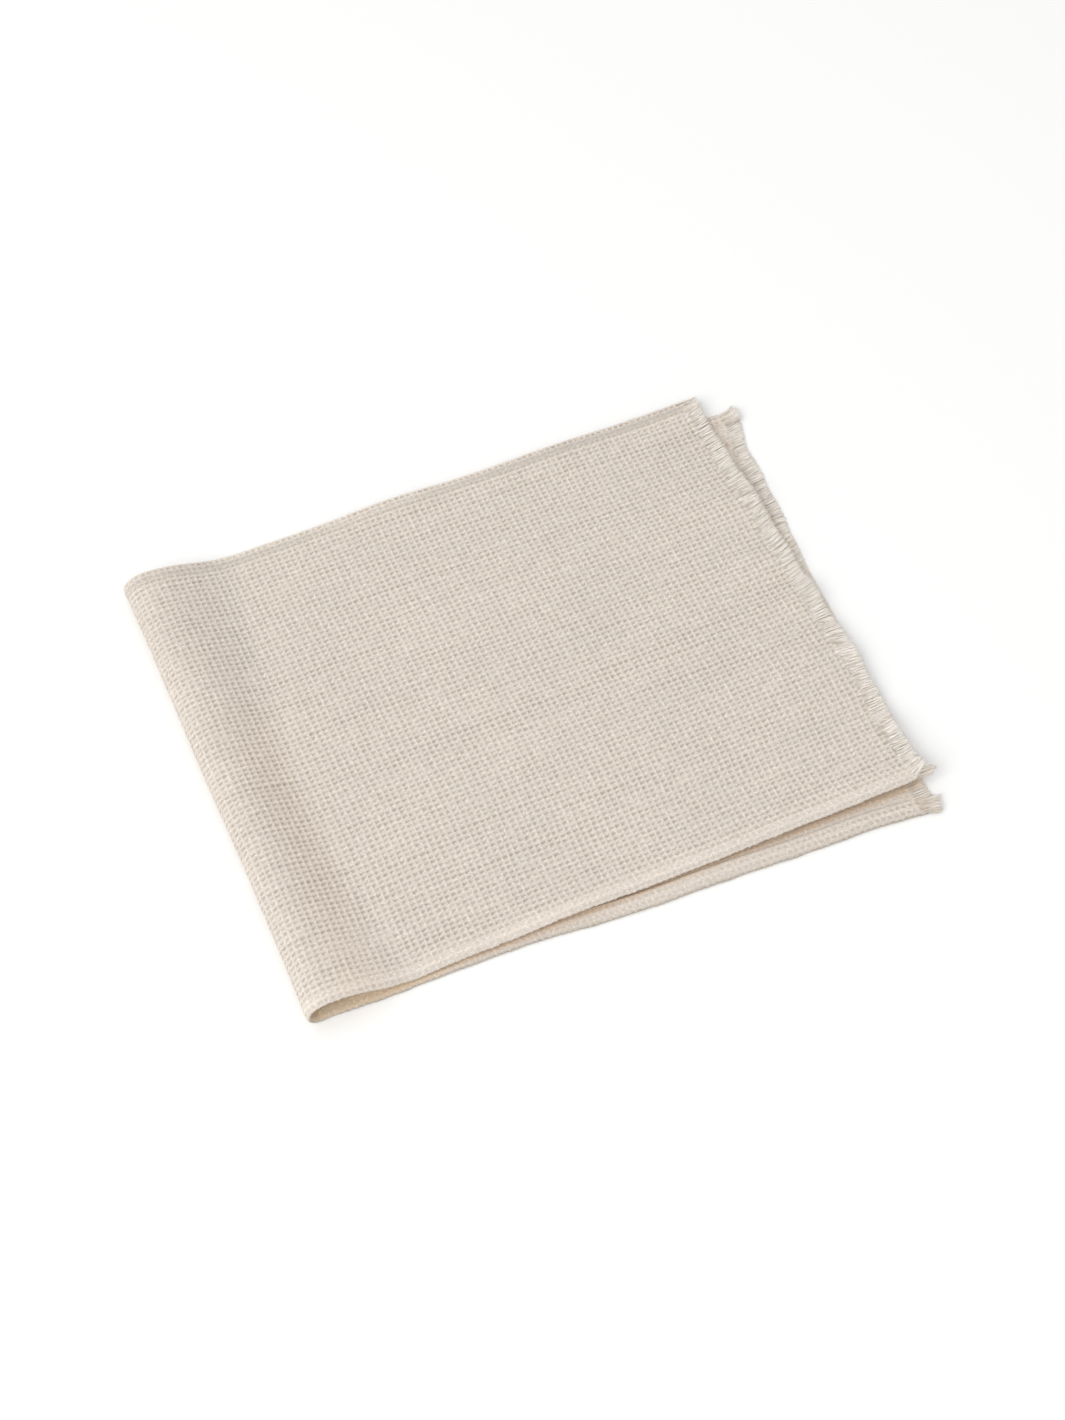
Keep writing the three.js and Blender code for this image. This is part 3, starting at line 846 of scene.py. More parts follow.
# %% Pieces of many yarns
def yarn_object(name, paths, radii, tones, gap_shade=0.0, sides=4):
    """One piece of closed tubes. The tones, and the painted warm shade between the layers, have a value
    for each yarn or each point.
    """
    yarns, points = paths.shape[:2]
    mesh = tube_mesh(name, paths, radii, sides)
    for map_name, values in zip(("OFBake", "yarn"), tube_maps(paths, sides)):
        add_map(mesh, map_name, values)
    tones = np.broadcast_to(np.reshape(tones, (yarns, -1)), (yarns, points))
    store_on_points(mesh, "tone", "FLOAT", np.repeat(tones, sides))
    # The tint holds painted warm shade where yarns lie between the layers.
    tint = np.ones((yarns, points, sides, 4))
    tint[..., :3] += (GAP_SHADE_TINT - 1) * np.broadcast_to(gap_shade, (yarns, points))[:, :, None, None]
    store_on_points(mesh, "tint", "FLOAT_COLOR", tint)
    mesh.calc_loop_triangles()
    print(name, "has", yarns, "yarns and", len(mesh.loop_triangles), "triangles")
    return add_piece(name, mesh)


# %% [markdown]
# ## The fringes
#
# The fringe is made by pulling out the last few crossing yarns, so the lengthwise yarns stay as
# a short even brush. They cling together in strands of two, lean a little either way and are
# still crinkled from the weave. They are laid in three rows, one above another, and the top row's
# roots show on the cloth. At the four corners the hem's folded layers end in thicker tufts.

# %% Sizes of the fringes
UPPER_LENGTH = 11.8
LOWER_LENGTH = 10.5
YARN_THICK = 0.44
YARN_STEPS = 10             # points along a yarn
STRAND_PITCH = PITCH_ACROSS / 4     # four strands to a cell of the weave, each two yarns wide
STRAND_YARNS = (-0.23, 0.23)
FRINGE_EDGE = HALF - HEM_WIDTH      # the plain fringe ends here and the tufts begin
OUTWARD = np.array([1.0, 0.0, 0.0])
# How far the yarns were combed to one side, in mm at 10 mm out, at places across the towel.
COMBED = {
    "v": (-170, -130, -80, -50, -20, 10, 45, 70, 100, 140, 170),
    "lean": (1.2, 1.1, 0.2, -1.2, 2.2, 2.0, 3.4, 2.3, 2.6, 2.6, 3.6),
}


def end_of_cloth(layer_line, v):
    """Where each yarn leaves the cloth, and how steeply the cloth runs out there."""
    lines = layer_line(v)
    along = unit(lines[:, -1] - lines[:, -6])
    return lines[:, -1], along[:, 2:3]


strand_count = int(2 * FRINGE_EDGE / STRAND_PITCH)
print(strand_count, "strands in each row of a fringe")


# %% Paths of the fringe yarns
def strand_tones(own_tone, cell_tone, proud, number, t):
    """Tones along the strands. The cell's tone shows at the root, a strand's own one at the tip, and
    the lower rows are painted darker, as shade under the top row.
    """
    tone = (cell_tone - 0.4 * number)[:, None] + 0.9 * proud[:, None] * (1 - t)
    tone = tone + own_tone[:, None] * (0.7 + 2.1 * t)
    return tone + 1.2 * soft_field(strand_count, YARN_STEPS, 0.7, 0.5) * (1.1 - t)


def lay_yarns(ends, out, run_out, strands, beside, level, on_top):
    """One yarn of each strand in a row, from its root out to its tip.

    out is how far each point lies past the cloth's end. run_out is how far it has risen there
    with the cloth and drooped. beside is the yarn's distance from the middle of its strand.
    """
    count = strand_count
    t = np.linspace(0, 1, YARN_STEPS)[None, :]
    wave = t * random.uniform(1.5, 3.5, (count, 1)) + random.random((count, 1))
    crinkle = 0.1 * np.sin(2 * math.pi * wave) * t
    free = np.clip(out / 3, 0, 1)
    path = ends[:, None] + OUTWARD * out[:, :, None]
    path[:, :, 1] += (strands["to_ridge"] - beside * strands["cling"])[:, None] * free + crinkle
    lean = strands["lean"] + random.normal(0, 0.12, count)
    path[:, :, 1] += lean[:, None] * np.clip(out / 10, 0, 1.3) ** 1.3
    # A yarn starts just inside the cloth, lies on it and then settles to its row's level.
    surface = CLOTH / 2 + 0.08 - 0.6 * (t < 0.01) if on_top else level - 0.1
    on_cloth = 1 - free * free * (3 - 2 * free)
    path[:, :, 2] += level * (1 - on_cloth) + surface * on_cloth
    path[:, :, 2] += strands["height"][:, None] * free
    path[:, :, 2] += run_out
    path[:, :, 2] += 0.1 * random.normal(0, 1, (count, 1)) * t + 0.6 * crinkle
    return path


# %% Rows of strands
def fringe_paths(layer_line, levels, roots, droop, fringe_length, combing):
    """Yarns of one fringe, in rows of strands. Only the first row lies on top of the cloth."""
    count = strand_count
    t = np.linspace(0, 1, YARN_STEPS)[None, :]
    combed = 0.4 * soft_field(CELLS_ACROSS + 1, 1, 1.6, 0)[:, 0]
    cell_pull = random.uniform(0.0, 0.22, CELLS_ACROSS + 1)
    cell_tone = random.normal(0, 0.3, CELLS_ACROSS + 1)
    cell_root = random.uniform(*roots, CELLS_ACROSS + 1)
    tip_line = 0.35 * soft_field(count, 1, 8, 0)[:, 0]
    rows = []
    tones = []
    for number, level in enumerate(levels):
        on_top = number == 0
        middle = (np.arange(count) + 0.5 * (number % 2)) * STRAND_PITCH - FRINGE_EDGE
        middle = middle + random.normal(0, 0.1, count)
        cell_place = (middle + HALF) / PITCH_ACROSS
        cell = np.round(cell_place).astype(int)
        proud = np.cos(2 * math.pi * cell_place)      # 1 where a ridge of the weave ends
        lean = combed[cell] + combing * read_table(COMBED, "v", middle, "lean")
        lean += random.normal(0, 0.5, count)
        to_ridge = (cell - cell_place) * PITCH_ACROSS * cell_pull[cell] * on_top
        length = fringe_length + tip_line + random.normal(0, 0.25, count)
        root = cell_root[cell] if on_top else np.full(count, 1.6)
        cling = random.uniform(0.1, 0.6, count)
        # A strand that is lighter than its neighbours also lies a little higher.
        own_tone = random.normal(0, 1, count)
        own_tone -= 0.35 * (np.roll(own_tone, 1) + np.roll(own_tone, -1))
        strand_tone = strand_tones(own_tone, cell_tone[cell], proud, number, t)
        height = 0.2 * own_tone + 0.06 * proud
        strands = {"lean": lean, "to_ridge": to_ridge, "cling": cling, "height": height}
        for beside in STRAND_YARNS:
            place = middle + beside + random.normal(0, 0.05, count)
            place = np.clip(place, -FRINGE_EDGE - 0.5, FRINGE_EDGE + 0.5)
            ends, slope = end_of_cloth(layer_line, place)
            own_root = root + random.normal(0, 0.25, count)
            own_length = length + random.normal(0, 0.3, count)
            out = -own_root[:, None] + (own_length + own_root)[:, None] * t
            drooped = droop * np.clip(out / fringe_length, 0, 1.2) ** 2
            run_out = slope * np.clip(out, -9, 3) - drooped
            rows.append(lay_yarns(ends, out, run_out, strands, beside, level, on_top))
            yarn_tone = strand_tone + 0.4 * random.normal(0, 1, (count, 1))
            # The tips are painted lighter, as light that the loose ends catch.
            tones.append(yarn_tone + 3.5 * t ** 2 - 0.9)
    return np.concatenate(rows), np.concatenate(tones)


# %% Sizes of the tufts where the hems end
# Each tuft is a hem's end. Its yarns have a reach and a lean, in mm along and across the table,
# given at places from its inner side, 0, to the rim, 1. "top" says how much shorter its top yarns
# are worn and how far they lean over. Its layers of yarn lie between two heights over the cloth's
# middle, as the hem does. "bend" says how late the lean sets in, "frayed" how far the rim is
# frayed back, "lift" how far the tips lift, and "tone" the tones of the under and top yarns,
# which are lowered as painted shade, most of all on the under yarns in the tuft's own shade.
UPPER_HEM = (-1.9, 1.1)
LOWER_HEM = (-0.5, 1.95)
UPPER_TUFTS = (
    {"side": -1, "place": (0.0, 0.25, 1.0), "reach": (13.5, 18.6, 13.2), "lean": (-0.6, -3.4, 0.0),
     "top": (0.7, 7.0), "bend": 1.0, "frayed": 0.5, "lift": 0.0, "tone": (-4.2, -1.0)},
    {"side": 1, "place": (0.0, 1.0), "reach": (12.2, 12.6), "lean": (2.0, 0.3),
     "top": (1.0, 0.0), "bend": 1.2, "frayed": 0.0, "lift": 0.0, "tone": (-3.0, -2.4)},
)
LOWER_TUFTS = (
    {"side": -1, "place": (0.0, 1.0), "reach": (15.0, 9.6), "lean": (-2.2, -2.8),
     "top": (1.0, 0.0), "bend": 1.2, "frayed": 1.8, "lift": 0.4, "tone": (-3.8, -3.2)},
    {"side": 1, "place": (0.0, 0.5, 1.0), "reach": (12.2, 12.0, 9.8), "lean": (1.4, 2.6, 2.8),
     "top": (1.0, 0.0), "bend": 2.0, "frayed": 1.2, "lift": 1.4, "tone": (-2.6, -2.0)},
)
TUFT_YARNS = 230
STRAY = np.arange(TUFT_YARNS) >= TUFT_YARNS - 7      # the last seven stick out past the rest
STRAY_THICKNESS = 0.4
print(TUFT_YARNS, "yarns in each tuft")


# %% Paths of the tufts' yarns
def tuft_yarns(tuft):
    """Where each yarn of a tuft lies in its hem, where it starts, its reach and its lean."""
    count = TUFT_YARNS
    inward = np.linspace(-0.3, HEM_WIDTH + 1.2, count) + random.normal(0, 0.3, count)
    rim_share = 1 - inward / HEM_WIDTH
    # Neighbours share a strand: they reach, lean and rise alike.
    order = np.argsort(inward)
    strand = np.empty(count)
    strand[order] = soft_field(count, 1, 3.5, 0)[:, 0]
    reach = np.interp(rim_share, tuft["place"], tuft["reach"])
    reach = reach + 0.6 * strand - np.abs(random.normal(0, 0.8, count))
    lean = np.interp(rim_share, tuft["place"], tuft["lean"])
    lean = lean + 0.3 * strand + random.normal(0, 0.25, count)
    lean = lean + STRAY * random.normal(0, 2.0, count)
    layer = random.random(count)
    on_top = layer > 0.62
    reach += STRAY * random.uniform(1.5, 4.0, count) - 3.0 * (1 - layer)
    shorter, aside = tuft["top"]
    reach = np.where(on_top, reach * shorter, reach)
    lean = np.where(on_top, lean + aside, lean)
    start = -np.where(on_top, random.uniform(0.6, 3.0, count), 2.0) - tuft["frayed"] * rim_share
    return inward, strand, layer, on_top, start, reach, lean


def tuft_paths(layer_line, tufts, hem):
    """Thicker brushes where a hem's folded layers end."""
    brushes, tones = [], []
    low, high = hem
    middle = (low + high) / 2
    t = np.linspace(0, 1, YARN_STEPS)[None, :]
    for tuft in tufts:
        inward, strand, layer, on_top, start, reach, lean = tuft_yarns(tuft)
        ends, slope = end_of_cloth(layer_line, tuft["side"] * np.minimum(HALF - inward, HALF))
        out = start[:, None] + (reach - start)[:, None] * t
        path = ends[:, None] + OUTWARD * out[:, :, None]
        wave = t * random.uniform(1, 2.5, (TUFT_YARNS, 1)) + random.random((TUFT_YARNS, 1))
        crinkle = 0.12 * np.sin(2 * math.pi * wave) * t
        bent = np.clip(out / reach[:, None], 0, 1) ** tuft["bend"]
        path[:, :, 1] += lean[:, None] * bent + crinkle
        # The tuft is rounded towards the rim and flattens on its way out.
        rounding = np.sqrt(np.clip(1 - 0.75 * np.clip(1 - inward / HEM_WIDTH, 0, 1) ** 6, 0, 1))
        height = np.where(on_top, high + 0.1 * (layer - 0.6), low + (high - low) * layer)
        height = middle + (height - middle) * rounding
        flattened = 1 - 0.6 * np.clip(out / 9, 0, 1)
        path[:, :, 2] += middle + (height - middle)[:, None] * flattened - 0.6 * (t < 0.01) + crinkle
        path[:, :, 2] += slope * np.clip(out, -9, 3) + tuft["lift"] * t ** 2 + 0.15 * strand[:, None]
        brushes.append(path)
        # Neighbours are also mottled alike, and the loose tips are painted lighter, as light that they
        # catch.
        # The under and top tones are painted shade, deepest on the under yarns.
        under_tone, top_tone = tuft["tone"]
        tone = 1.3 * strand + random.normal(0, 0.6, TUFT_YARNS) + np.where(on_top, top_tone, under_tone)
        mottle = soft_field(TUFT_YARNS, YARN_STEPS, 1.0, 0.5) * (1.1 - t)
        by_place = np.argsort(np.argsort(inward))
        tones.append(tone[:, None] + mottle[by_place] + 3.6 * t ** 2 - 0.6)
    thickness = np.tile(np.where(STRAY, STRAY_THICKNESS, 1.0), len(tufts))
    return np.concatenate(brushes), np.concatenate(tones), thickness


# %% The two fringes
def fringe_object(name, layer_line, tufts, hem, shade, **lie):
    """One fringe with its two tufts, as one mesh."""
    paths, tones = fringe_paths(layer_line, **lie)
    brushes, brush_tones, brush_thickness = tuft_paths(layer_line, tufts, hem)
    t = np.linspace(0, 1, YARN_STEPS)
    thickness = np.concatenate([np.ones(len(paths)), brush_thickness])
    paths = np.concatenate([paths, brushes])
    # shade lowers a whole fringe's tones, as painted shade where it lies under the other layer.
    tones = np.concatenate([tones, brush_tones]) - shade
    taper = np.interp(t, [0, 0.15, 0.75, 1], [0.6, 1, 0.95, 0.5])
    radii = YARN_THICK / 2 * thickness[:, None] * random.uniform(0.8, 1.15, (len(paths), 1))
    radii = radii * taper[None, :]
    # The lower fringe gets painted warm shade where it lies between the layers.
    gap_shade = 0.8 * hidden_share(paths) if layer_line is lower_line else 0.0
    return yarn_object(name, paths, radii, tones, gap_shade)


fringe_upper = fringe_object(
    "fringe_upper_yarns", upper_line, UPPER_TUFTS, UPPER_HEM, shade=0.0, levels=(0.55, 0.1, -0.3),
    roots=(0.6, 2.6), droop=0.3, fringe_length=UPPER_LENGTH, combing=1.0)
fringe_lower = fringe_object(
    "fringe_lower_yarns", lower_line, LOWER_TUFTS, LOWER_HEM, shade=0.3, levels=(0.5, 0.1, -0.25),
    roots=(1.0, 5.5), droop=0.2, fringe_length=LOWER_LENGTH, combing=0.6)

# %% [markdown]
# ## Stitches
#
# A lockstitch runs along each hem: one thread shows as short dashes on the right side, in the
# groove that it pulls, and its partner shows on the turned allowance. The dashes could be painted
# on, but a thread that stands off the cloth catches the light as a real one does. So each dash is
# a short tube that dives into the cloth at both ends.

# %% Hem stitches
STITCH_LENGTH = 3.0
STITCH_THICK = 0.42
PARTNER_IN = 8.3            # the partner thread's place on the allowance, in from the rim


def stitch_paths(column_points, column_out, lift):
    """Short dashes along one line of points."""
    steps = np.linalg.norm(np.diff(column_points, axis=0), axis=1)
    along = np.concatenate([[0], np.cumsum(steps)])
    count = int(along[-1] / STITCH_LENGTH)
    t = np.array([0.04, 0.2, 0.5, 0.8, 0.96])
    dip = np.array([-0.35, 0.0, 0.08, 0.0, -0.35]) + lift
    at = (np.arange(count)[:, None] + t[None, :]) * STITCH_LENGTH
    path = np.stack([np.interp(at, along, column_points[:, axis]) for axis in range(3)], axis=2)
    out = unit(np.stack([np.interp(at, along, column_out[:, axis]) for axis in range(3)], axis=2))
    return path + out * dip[None, :, None]


dashes = []
for column in (GROOVE, outer_columns - 1 - GROOVE):
    dashes.append(stitch_paths(outer_points[:, column], outer_out[:, column], 0.12))
line_cells = np.arange(-CELLS_EACH_LAYER, CELLS_EACH_LAYER + 0.5, 0.5)
for seam_v in (-HALF + PARTNER_IN * NEAR_HEM_WIDER, HALF - PARTNER_IN):
    base, _, _, out = cloth_frame(line_cells, [seam_v])
    dashes.append(stitch_paths(base[:, 0] - out[:, 0] * (CLOTH / 2 + HEM_TURN), -out[:, 0], 0.1))
stitch_lines = np.concatenate(dashes)
stitch_radii = np.tile(np.array([0.6, 1, 1, 1, 0.6]) * STITCH_THICK / 2, (len(stitch_lines), 1))
stitch_tones = random.normal(0, 0.6, len(stitch_lines))
# The partner threads on the allowance get painted warm shade where they lie between the layers.
stitch_gap_shade = hidden_share(stitch_lines)
stitch_gap_shade[:len(dashes[0]) + len(dashes[1])] = 0.0     # those on the right side
stitches = yarn_object("hem_stitches", stitch_lines, stitch_radii, stitch_tones, stitch_gap_shade, sides=5)


# %% [markdown]
# ## Materials
#
# A material is a small network of nodes. One function adds a node with its settings and links, so
# each network reads as a list. Colours are written as the hex values of a paint chart, which are
# sRGB, and one function turns them into the linear values that light is added up in.

# %% Colours and nodes
def linear_colour(hex_code):
    """sRGB hex to linear red, green, blue and full alpha."""
    parts = [int(hex_code[i:i + 2], 16) / 255 for i in (1, 3, 5)]
    parts = [part / 12.92 if part <= 0.04045 else ((part + 0.055) / 1.055) ** 2.4 for part in parts]
    return (*parts, 1.0)


def add_node(tree, kind, settings=None, links=None):
    """Adds a node. A setting is a property of the node or the value of one of its inputs.

    A link comes from an output, or from a node, which stands for its first output.
    """
    node = tree.nodes.new("ShaderNode" + kind)
    for key, value in (settings or {}).items():
        if isinstance(key, str) and hasattr(node, key):
            setattr(node, key, value)
        else:
            node.inputs[key].default_value = value
    for key, source in (links or {}).items():
        output = source.outputs[0] if isinstance(source, bpy.types.Node) else source
        tree.links.new(output, node.inputs[key])
    return node


def new_material(name):
    """An empty material and its tree of nodes."""
    material = bpy.data.materials.new(name)
    material.use_nodes = True
    material.node_tree.nodes.clear()
    return material, material.node_tree


MIX_A, MIX_B, MIX_RESULT = 6, 7, 2      # a colour mix node's two colours and its result
COTTON_SURFACE = {
    "IOR": 1.55,
    "Specular IOR Level": 0.3,
    "Sheen Weight": 0.2,
    "Sheen Roughness": 0.5,
}

# %% [markdown]
# ### Waffle cotton
#
# Undyed cotton, woven and washed: matte, with soft fuzz that catches light at grazing angles. Its
# ridges are full cream yarn. The pits are thinner cloth, and their greyer beige is partly that and
# partly painted shade, for the occlusion in them. An image of cloth could be wrapped over the mesh,
# but nodes stay sharp at any distance and follow the modelled pits. The drawn pits keep to the
# weave map, turned a little in their cells and with wandering outlines. Cotton fibre has an IOR
# near 1.55, and so rough a cloth has almost no highlight. The finest yarns are 0.3 mm apart in
# truth. They are drawn 0.6 mm apart, so that they show.
#
# The weave map counts in cells of about 4 mm, so a noise of scale 4 has flecks of a millimetre.

# %% Waffle cotton: the pits
PIT_HALF = (0.36, 0.255, 1.0)           # half a pit, in cells: 1.5 mm along and 0.95 mm across
PIT_TURN = math.radians(-10)
WIDER_WHEN_DEEP = -0.35
OUTLINE_WANDER = (0.34, 0.34, 0.0)      # 0.17 of a cell either way, or about 0.7 mm

waffle_cotton, tree = new_material("waffle_cotton")
weave = add_node(tree, "UVMap", {"uv_map": "weave"})
wander = add_node(tree, "TexNoise", {"noise_dimensions": "2D", "Scale": 1.1, "Detail": 2.0},
                  {"Vector": weave})
wander = add_node(tree, "VectorMath", {"operation": "SUBTRACT", 1: (0.5, 0.5, 0.5)},
                  {0: wander.outputs["Color"]})
place = add_node(tree, "VectorMath", {"operation": "MULTIPLY_ADD", 1: OUTLINE_WANDER},
                 {0: wander, 2: weave})
in_cell = add_node(tree, "VectorMath", {"operation": "FRACTION"}, {0: place})
in_cell = add_node(tree, "VectorMath", {"operation": "SUBTRACT", 1: (0.5, 0.5, 0.0)}, {0: in_cell})
in_cell = add_node(tree, "VectorRotate", {"rotation_type": "Z_AXIS", "Angle": PIT_TURN},
                   {"Vector": in_cell})
across_pit = add_node(tree, "VectorMath", {"operation": "DIVIDE", 1: PIT_HALF}, {0: in_cell})
squared = add_node(tree, "VectorMath", {"operation": "MULTIPLY"}, {0: across_pit, 1: across_pit})
from_middle = add_node(tree, "VectorMath", {"operation": "LENGTH"}, {0: squared})

# Deeper pits are also wider and painted darker, as deeper shade. Each point of the mesh knows how deep
# its pit is.
depth = add_node(tree, "Attribute", {"attribute_name": "pit_shade"})
pit_edge = add_node(tree, "Math", {"operation": "MULTIPLY_ADD", 1: WIDER_WHEN_DEEP},
                    {0: depth.outputs["Fac"], 2: from_middle.outputs["Value"]})
pit = add_node(tree, "MapRange",
               {"interpolation_type": "SMOOTHSTEP", "From Min": 1.3, "From Max": -0.15},
               {"Value": pit_edge})
pit_weight = add_node(tree, "Math", {"operation": "MULTIPLY"}, {0: pit, 1: depth.outputs["Fac"]})

# %% Waffle cotton: colours
RIDGE_CREAM = linear_colour("#dfd5ca")
# The pits' beige is partly their thinner cloth and partly painted shade.
PIT_SHADE_BEIGE = linear_colour("#c5baae")
# The colour of the painted shade in the grooves and along the step.
GROOVE_SHADE = linear_colour("#a89a88")
FLECK_SHARE, BROAD_SHARE = 0.36, 0.08
BASE_TONE = 0.735                       # brings the tones together to about 1

woven = add_node(tree, "Mix",
                 {"data_type": "RGBA", "clamp_factor": False, MIX_A: RIDGE_CREAM, MIX_B: PIT_SHADE_BEIGE},
                 {"Factor": pit_weight})
# Flecks of about a millimetre where floats catch or lose the light, and a broad uneven tone of
# some centimetres, as in yarn from different cones.
fibres = add_node(tree, "TexNoise", {"noise_dimensions": "2D", "Scale": 4.2, "Detail": 3.0},
                  {"Vector": weave})
floats = add_node(tree, "TexNoise", {"noise_dimensions": "2D", "Scale": 2.2, "Detail": 1.0},
                  {"Vector": weave})
specks = add_node(tree, "MapRange",
                  {"interpolation_type": "SMOOTHSTEP",
                   "From Min": 0.5, "From Max": 0.72, "To Max": 0.16},
                  {"Value": floats})
broad = add_node(tree, "TexNoise", {"noise_dimensions": "2D", "Scale": 0.07, "Detail": 3.0},
                 {"Vector": weave})
flecks = add_node(tree, "Math", {"operation": "MULTIPLY_ADD", 1: FLECK_SHARE}, {0: fibres, 2: specks})
tone = add_node(tree, "Math", {"operation": "MULTIPLY_ADD", 1: BROAD_SHARE}, {0: broad, 2: flecks})
tone = add_node(tree, "Math", {"operation": "ADD", 1: BASE_TONE}, {0: tone})
toned = add_node(tree, "VectorMath", {"operation": "SCALE"},
                 {0: woven.outputs[MIX_RESULT], "Scale": tone})

# Painted shade in the stitched grooves and along the allowance's turned step, and the stored tint of
# painted light and shade.
groove_value = add_node(tree, "Attribute", {"attribute_name": "painted_line_shade"})
groove_line = add_node(tree, "MapRange",
                       {"interpolation_type": "SMOOTHSTEP",
                        "From Min": 0.4, "From Max": 1.0, "To Max": 0.8},
                       {"Value": groove_value.outputs["Fac"]})
seamed = add_node(tree, "Mix", {"data_type": "RGBA", MIX_B: GROOVE_SHADE},
                  {"Factor": groove_line, MIX_A: toned})
tint_value = add_node(tree, "Attribute", {"attribute_name": "tint"})
shown = add_node(tree, "VectorMath", {"operation": "MULTIPLY"},
                 {0: seamed.outputs[MIX_RESULT], 1: tint_value.outputs["Color"]})

# %% Waffle cotton: fine relief and surface
# Relief that is too fine for the mesh: rounded pit edges, drawn yarns and fuzz. The yarns run one
# way on the ridges and the other way in the pits.
cords_along = add_node(tree, "TexWave",
                       {"wave_type": "BANDS", "bands_direction": "Y", "Scale": 1.9, "Distortion": 0.6},
                       {"Vector": place})
cords_across = add_node(tree, "TexWave",
                        {"wave_type": "BANDS", "bands_direction": "X", "Scale": 2.2, "Distortion": 0.6},
                        {"Vector": place})
cords = add_node(tree, "Mix", {"data_type": "FLOAT"},
                 {0: pit, 2: cords_along.outputs["Fac"], 3: cords_across.outputs["Fac"]})
height = add_node(tree, "Math", {"operation": "MULTIPLY_ADD", 1: 0.25}, {0: cords, 2: fibres})
height = add_node(tree, "Math", {"operation": "MULTIPLY_ADD", 1: -0.7}, {0: pit_weight, 2: height})
bump = add_node(tree, "Bump", {"Strength": 0.7, "Distance": 0.00025}, {"Height": height})
cotton = add_node(tree, "BsdfPrincipled", {"Roughness": 0.92, **COTTON_SURFACE},
                  {"Base Color": shown, "Normal": bump})
add_node(tree, "OutputMaterial", {}, {"Surface": cotton})
cloth_mesh.materials.append(waffle_cotton)
print("waffle cotton has", len(tree.nodes), "nodes")

# %% [markdown]
# ### Fringe yarn and sewing thread
#
# The same undyed cotton, spun and twisted: cream, matte and a little fuzzy. One flat colour would
# melt the yarns together, so each has its own tone, stored on its points. The tones also carry
# painted shade, on lower rows and on yarns under the other layer, and painted light at the tips.
# Its plies lie 0.8 mm apart along the yarn, and the sewing thread's lie 0.5 mm apart. They are
# drawn at twice that, so that they show as a faint slanting relief. Sewing thread is also spun
# harder, so it is smoother.

# %% Fringe yarn and thread materials
ONE_BAND = 0.628            # the wave texture's scale that draws one slanting band to a unit
DRAWN_COARSER = 2


def spun_yarn(name, colour, shade, ply, roughness):
    """A twisted yarn: plies that climb round the tube, and a tone of its own."""
    material, tree = new_material(name)
    along_yarn = add_node(tree, "UVMap", {"uv_map": "yarn"})
    stretched = add_node(tree, "VectorMath", {"operation": "MULTIPLY", 1: (1.0, 1.0 / ply, 1.0)},
                         {0: along_yarn})
    plies = add_node(tree, "TexWave",
                     {"wave_type": "BANDS", "bands_direction": "DIAGONAL",
                      "Scale": ONE_BAND / DRAWN_COARSER, "Distortion": 0.4},
                     {"Vector": stretched})
    own = add_node(tree, "Attribute", {"attribute_name": "tone"})
    share = add_node(tree, "Math", {"operation": "MULTIPLY_ADD", 1: 0.15, 2: 0.7, "use_clamp": True},
                     {0: own.outputs["Fac"]})
    mixed = add_node(tree, "Mix",
                     {"data_type": "RGBA", MIX_A: linear_colour(shade), MIX_B: linear_colour(colour)},
                     {"Factor": share})
    tint_value = add_node(tree, "Attribute", {"attribute_name": "tint"})
    shown = add_node(tree, "VectorMath", {"operation": "MULTIPLY"},
                     {0: mixed.outputs[MIX_RESULT], 1: tint_value.outputs["Color"]})
    bump = add_node(tree, "Bump", {"Strength": 0.4, "Distance": 0.0001},
                    {"Height": plies.outputs["Fac"]})
    yarn = add_node(tree, "BsdfPrincipled", {"Roughness": roughness, **COTTON_SURFACE},
                    {"Base Color": shown, "Normal": bump})
    add_node(tree, "OutputMaterial", {}, {"Surface": yarn})
    print(name, "has", len(tree.nodes), "nodes")
    return material


fringe_yarn = spun_yarn("fringe_yarn", "#fff9f1", "#cfc2b3", 0.8, 0.9)
hem_thread = spun_yarn("hem_thread", "#e6dccd", "#d3c7b6", 0.5, 0.75)
fringe_upper.data.materials.append(fringe_yarn)
fringe_lower.data.materials.append(fringe_yarn)
stitches.data.materials.append(hem_thread)

# %% [markdown]
# ## Studio
#
# A pale floor, an even bright surround and one large soft light from the front left. A small
# lamp would show the relief more strongly, but with hard shadows. Here the surround fills the
# pits, and the large light gives the fold its bright nose and the fall behind it its soft shade.

# %% Floor
FLOOR_HALF = 8.0
FLOOR_LEVEL = -0.0002       # a hair below the towel, so that the two don't touch
FLOOR_CORNERS = [(x * FLOOR_HALF, y * FLOOR_HALF, 0) for x, y in ((-1, -1), (1, -1), (1, 1), (-1, 1))]

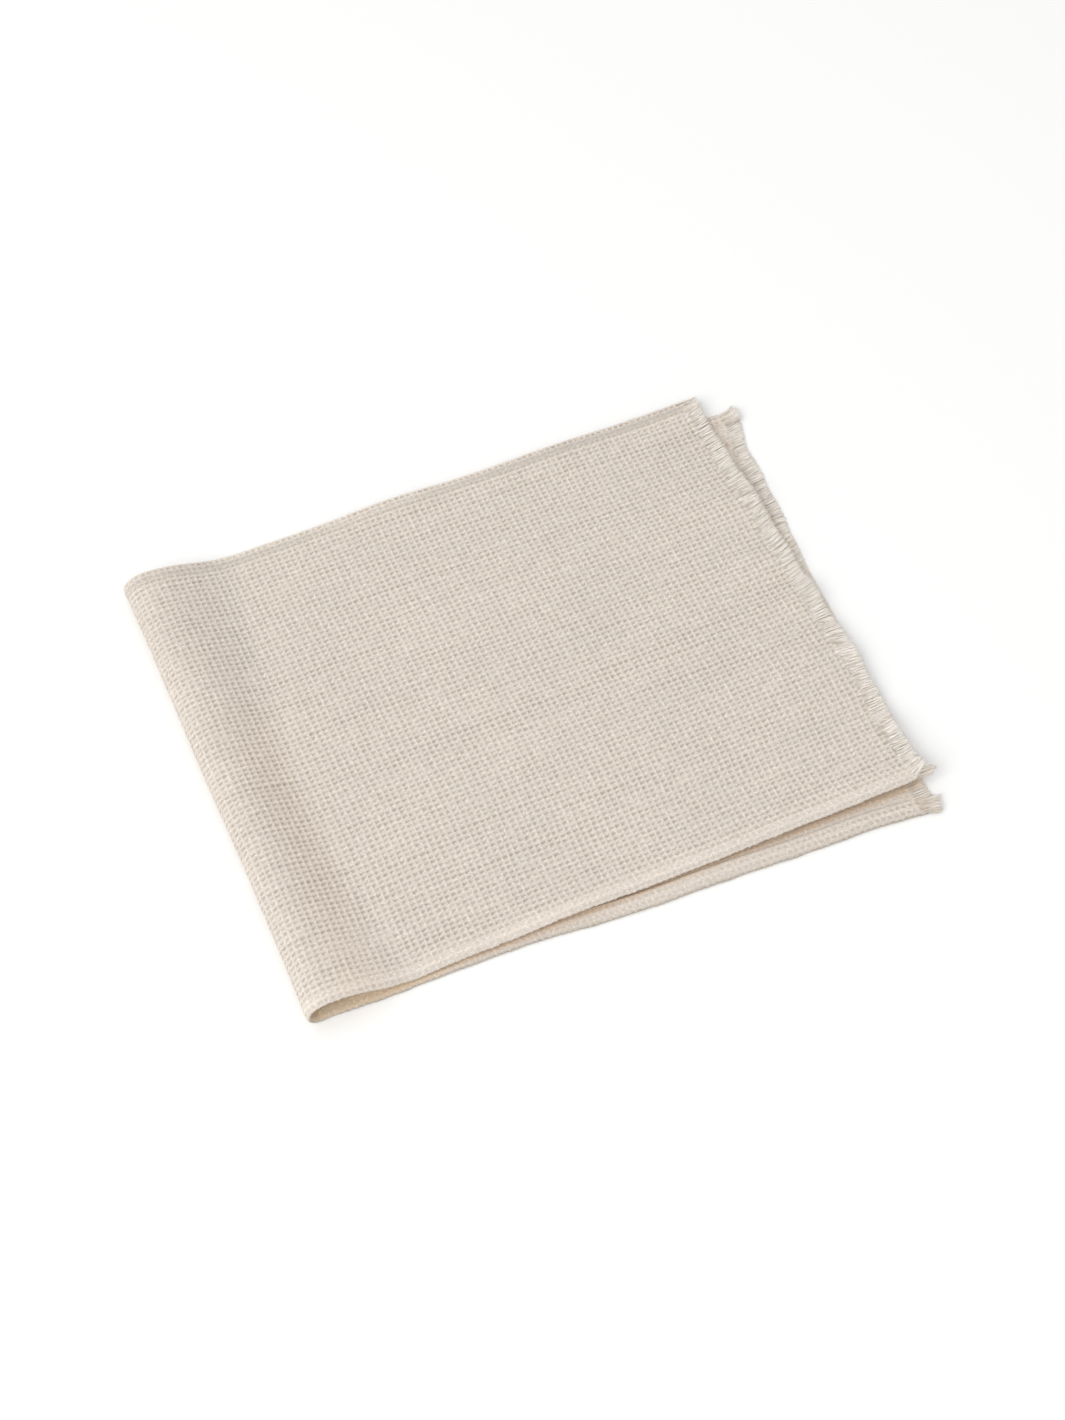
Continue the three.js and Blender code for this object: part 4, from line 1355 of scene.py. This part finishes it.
floor_mesh = bpy.data.meshes.new("studio_floor")
floor_mesh.from_pydata(FLOOR_CORNERS, [], [(0, 1, 2, 3)])
floor = bpy.data.objects.new("studio_floor", floor_mesh)
floor.location.z = FLOOR_LEVEL
bpy.context.scene.collection.objects.link(floor)
floor_paint, tree = new_material("matt_white_floor")
paint = add_node(tree, "BsdfPrincipled",
                 {"Base Color": linear_colour("#fbfbfa"), "Roughness": 0.95, "Specular IOR Level": 0.1})
add_node(tree, "OutputMaterial", {}, {"Surface": paint})
floor_mesh.materials.append(floor_paint)
print("floor is", 2 * FLOOR_HALF, "m wide")

# %% Surround and soft light
SOFTBOX_AZIMUTH = math.radians(-74)
SOFTBOX_ELEVATION = math.radians(38)
SOFTBOX_DISTANCE = 4.0
SOFTBOX_SIZE = 2.6
SOFTBOX_WATTS = 76.0
LOW_SURROUND, HIGH_SURROUND = 0.45, 1.0     # its strength at the horizon and overhead

scene = bpy.context.scene
scene.view_settings.view_transform = "Standard"
studio = bpy.data.worlds.new("studio")
studio.use_nodes = True
tree = studio.node_tree
tree.nodes.clear()
direction = add_node(tree, "TexCoord")
upward = add_node(tree, "SeparateXYZ", {}, {0: direction.outputs["Generated"]})
from_above = add_node(tree, "MapRange", {"To Min": LOW_SURROUND, "To Max": HIGH_SURROUND},
                      {"Value": upward.outputs["Z"]})
surround = add_node(tree, "Background", {"Color": (1.0, 1.0, 1.0, 1.0)}, {"Strength": from_above})
add_node(tree, "OutputWorld", {}, {"Surface": surround})
scene.world = studio

softbox_data = bpy.data.lights.new("softbox", "AREA")
softbox_data.shape = "SQUARE"
softbox_data.size = SOFTBOX_SIZE
softbox_data.energy = SOFTBOX_WATTS
softbox = bpy.data.objects.new("softbox", softbox_data)
middle_of_table = Vector((0.0, 0.0, 0.0))
place_facing(softbox, SOFTBOX_AZIMUTH, SOFTBOX_ELEVATION, SOFTBOX_DISTANCE, middle_of_table)
print("soft light stands at", [round(part, 2) for part in softbox.location])

# %% [markdown]
# ## Belonging
#
# Every piece rides on the part's one body and takes the place of its plain CAD solid. The cloth
# was cut 340 mm wide between its hemmed sides and 850 mm long with both fringes.

# %% Riding and replacing
for piece in (cloth, fringe_upper, fringe_lower, stitches):
    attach(piece, "root")
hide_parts("towel")
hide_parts("fringe_upper")
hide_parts("fringe_lower")
